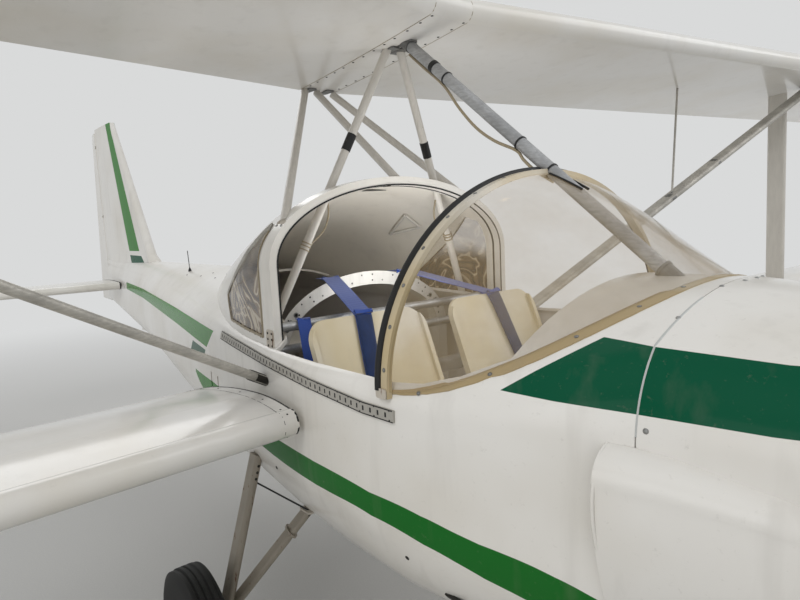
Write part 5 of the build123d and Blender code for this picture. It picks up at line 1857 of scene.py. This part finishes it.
@dataclass
class Wheels:
    """Tyres with grooved treads and rounded shoulders, and rims with bolts."""
    main_centre: Point = (-215.0, 745.0, 200.0)
    main_radius: float = 200.0
    main_width: float = 104.0
    main_bolts: float = 0.055
    nose_centre: Point = (1250.0, 0.0, 165.0)
    nose_radius: float = 165.0
    nose_width: float = 90.0
    nose_bolts: float = 0.045
    bolt_count: int = 6
    ribs: Tuple[float, ...] = (-0.8, -0.42, -0.06, 0.34, 0.72)
    groove: float = 5.0

    def tyre(self, name: str, node: str, body: str, centre: Vector, radius: float, width: float) -> None:
        """One tyre, turned from a profile with four grooves.

        Args:
            name: The piece's name.
            node: The CAD node it stands for.
            body: The body it rides on.
            centre: The wheel's middle, in metres.
            radius: Outer radius in millimetres.
            width: Width over the walls.
        """
        verts = [v.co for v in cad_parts[node].data.vertices]
        bore = min(math.hypot(v.x - centre.x, v.z - centre.z) for v in verts) * MM + 0.05
        half = width / 2
        profile = [(bore, -half * 0.8), (bore + 6, -half * 0.93), (radius * 0.78, -half),
                   (radius * 0.9, -half * 0.93)]
        for side in self.ribs:
            edge = radius - 9 * abs(side) ** 4 - 1
            profile += [(edge, side * half), (edge, (side + 0.2) * half if side + 0.2 < 0.8 else 0.8 * half)]
            if side < 0.7:
                mid = side + 0.24
                profile += [(edge - self.groove, mid * half), (edge - self.groove, (mid + 0.08) * half)]
        profile += [(radius * 0.9, half * 0.93), (radius * 0.78, half),
                    (bore + 6, half * 0.93), (bore, half * 0.8)]
        made = piece(name, *lathe(centre, profile), TYRE, 28)
        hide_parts(node)
        settle(made, body)

    def bolts(self, name: str, hub: str, body: str, centre: Vector, radius: float) -> None:
        """Ring of bolts on both faces of a rim.

        Args:
            name: The piece's name.
            hub: The CAD hub that carries them.
            body: The body they ride on.
            centre: The wheel's middle, in metres.
            radius: Radius of the ring, in metres.
        """
        low, high = [Vector(corner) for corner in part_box(hub)]
        face = (high.y - low.y) / 2
        turns = [2 * math.pi * i / self.bolt_count for i in range(self.bolt_count)]
        spots = [(centre + Vector((radius * math.cos(turn), side * face, radius * math.sin(turn))),
                  Vector((0, side, 0))) for side in SIDES for turn in turns]
        studded(name, spots, body, "hub_bolts")

    def build(self) -> None:
        """All three wheels."""
        x, y, z = self.main_centre
        for side, name in zip(SIDES, HANDS):
            centre, body = st(x, side * y, z), f"{name}_main_wheel"
            self.tyre(f"main_tyre_{name}_tread", f"main_tyre_{name}", body, centre, self.main_radius,
                      self.main_width)
            self.bolts(f"main_hub_bolts_{name}", f"main_hub_{name}", body, centre, self.main_bolts)
        centre = st(*self.nose_centre)
        self.tyre("nose_tyre_tread", "nose_tyre", "nose_wheel", centre, self.nose_radius, self.nose_width)
        self.bolts("nose_hub_bolts", "nose_hub", "nose_wheel", centre, self.nose_bolts)


@dataclass
class Gear:
    """Fittings at the roots of the main gear legs, and the brake rods between them."""
    fore_root: Point = (-60.0, 398.0, 540.0)
    side_root: Point = (-205.0, 500.0, 720.0)
    joint: Point = (-215.0, 655.0, 200.0)
    clip: Place = (64.0, 42.0)
    clip_span: Place = (0.2, 0.215)
    root_plate: Point = (64, 40, 6)
    bolt_shares: Tuple[float, ...] = (0.06, 0.1, 0.14)
    rod: float = 6.0
    rod_share: float = 0.16
    sleeve: float = 12.0
    sleeve_share: float = 0.12

    def build(self) -> None:
        """Clips, plates, bolts and rods."""
        clips, plates, rods, bolts = [], [], [], []
        for side, hand in zip(SIDES, HANDS):
            fore, rear, foot = [st(x, side * y, z) for x, y, z in (self.fore_root, self.side_root, self.joint)]
            clips.append(swept(between(fore, foot, self.clip_span), *self.clip, AHEAD, sides=28))
            plates.append(plate(fore + Vector((0.012, side * 0.004, 0.004)), AHEAD, Vector((0, side, 0)),
                                self.root_plate))
            leg = Skin(f"main_gear_leg_{hand}")
            bolts += leg.hits((spot + Vector((0.4, 0, 0)), AFT) for spot in between(rear, foot, self.bolt_shares))
            back = [rear.lerp(foot, self.rod_share), fore + Vector((0.03, side * 0.004, 0.0))]
            front = [fore.lerp(foot, self.sleeve_share) + Vector((0.012, 0, 0)),
                     fore + Vector((0.03, -side * 0.01, 0.012))]
            rods += [swept(back, self.rod, self.rod, AHEAD, sides=10),
                     swept(front, self.sleeve, self.sleeve, AHEAD, sides=12)]
        fitted("gear_leg_clips", merged(clips), GEAR_PAINT)
        fitted("gear_root_plates", merged(plates), RUSTY)
        fitted("gear_rods", merged(rods), PLASTIC)
        studded("gear_bolts", bolts)


@dataclass
class Nose:
    """Cowling and spinner trim: sealant bead over the seam, rolled lips and the spinner's screws."""
    bead_x: float = 1135.0
    bead_low: float = 1082.0
    bead_back: float = 6.0
    bead_arc: Place = (17.0, 63.0)
    bead_steps: int = 39
    bead: Place = (6.0, 3.0)
    lip_x: float = 1088.0
    lip_wide: float = 7.0
    lip: Places = ((444, 1073), (470, 1057), (490, 1005), (490, 940), (470, 860), (437, 780))
    spinner: Point = (1712.0, 0.0, 1050.0)

    def build(self) -> None:
        """Everything on the cowling and the spinner."""
        shell = Skin("fuselage_hull", "cowling")
        first, last = self.bead_arc
        turns = [math.radians(first + (last - first) * i / self.bead_steps) for i in range(self.bead_steps + 1)]
        beads = []
        for side in SIDES:
            ways = [Vector((0, side * math.cos(turn), math.sin(turn))) for turn in turns]
            row = [spot + AFT * (self.bead_back / MM)
                   for spot, _ in shell.hits((st(self.bead_x, 0, 950) + way * 1.2, -way) for way in ways)
                   if spot.z > self.bead_low / MM]
            beads.append(swept(row, *self.bead, AHEAD, sides=8))
        fitted("cowling_bead", merged(beads), BEAD)
        lips = [swept(smooth_line([st(self.lip_x, side * (y + 1), z) for y, z in self.lip], 6), self.lip_wide,
                      self.lip_wide, AHEAD, sides=12) for side in SIDES]
        fitted("cheek_lips", merged(lips), GELCOAT)
        turns = [math.pi * (i + 0.5) / 4 for i in range(8)]
        ways = [Vector((0, math.cos(turn), math.sin(turn))) for turn in turns]
        studded("spinner_screws", Skin("spinner").hits((st(*self.spinner) + way * 0.3, -way) for way in ways),
                "propeller")


@dataclass
class Tail:
    """Aerial and the dark rings at the tailplane's roots."""
    aerial: Point = (-1659.0, -121.0, 1262.0)
    aerial_foot: Places = ((9, -2), (9, 4), (5, 14), (2.4, 20))
    aerial_wide: float = 4.0
    aerial_tip: Point = (-0.012, 0.0, 0.11)
    ring_y: float = 126.0
    ring_ends: Place = (-3600, -3001)

    def build(self) -> None:
        """Small pieces of the tail."""
        base = st(*self.aerial)
        found = Skin("fuselage_hull").cast(base + Vector((0, 0, 0.3)), DOWN)
        foot = found[0] if found else base
        rod = swept([foot - Vector((0, 0, 0.002)), foot + Vector(self.aerial_tip)], self.aerial_wide,
                    self.aerial_wide, AHEAD, sides=10)
        fitted("aerial", merged([rod, lathe_up(foot, self.aerial_foot)]), PLASTIC)
        rings = [belt(Skin(f"tailplane_{hand}"), side * self.ring_y, 8, *self.ring_ends, 1.2, 0.0)
                 for side, hand in zip(SIDES, HANDS)]
        fitted("tailplane_root_rings", merged(rings), RUBBER_AND_PAINTED_SHADE, "elevator")


# Finishes of the CAD nodes that show as they are.
DRESS = (
    (WING_COAT, "upper_wing_left upper_wing_right upper_wing_centre lower_wing_left lower_wing_right"),
    (STRUT_METAL, "lift_strut_left lift_strut_right jury_struts"),
    (TUBE_METAL, "windshield_brace cross_tubes carry_through_tube tailplane_tube rudder_pedals"),
    (CAST_METAL, "firewall engine_block main_hub_left main_hub_right nose_hub"),
    (CABANE_PAINT, "cabane_front cabane_rear bay_strut_left bay_strut_right"),
    (GEAR_PAINT, "main_gear_leg_left main_gear_leg_right nose_leg nose_fork"),
    (PLASTIC, "instrument_panel control_stick"),
    (WOOD, "propeller"),
)


def main() -> None:
    """Builds every sub-assembly in order."""
    logging.basicConfig(level=logging.INFO, format="%(name)s %(message)s")
    for finish, nodes in DRESS:
        repaint(finish, *nodes.split())
    for maker in (Studio(), Body(), Windshield(), Brace(), Cabane(), Wings(), DoorRails(), Cabin(), Webbing(),
                  Wheels(), Gear(), Nose(), Tail()):
        LOG.info("building %s", type(maker).__name__)
        maker.build()


if __name__ == "__main__":
    main()
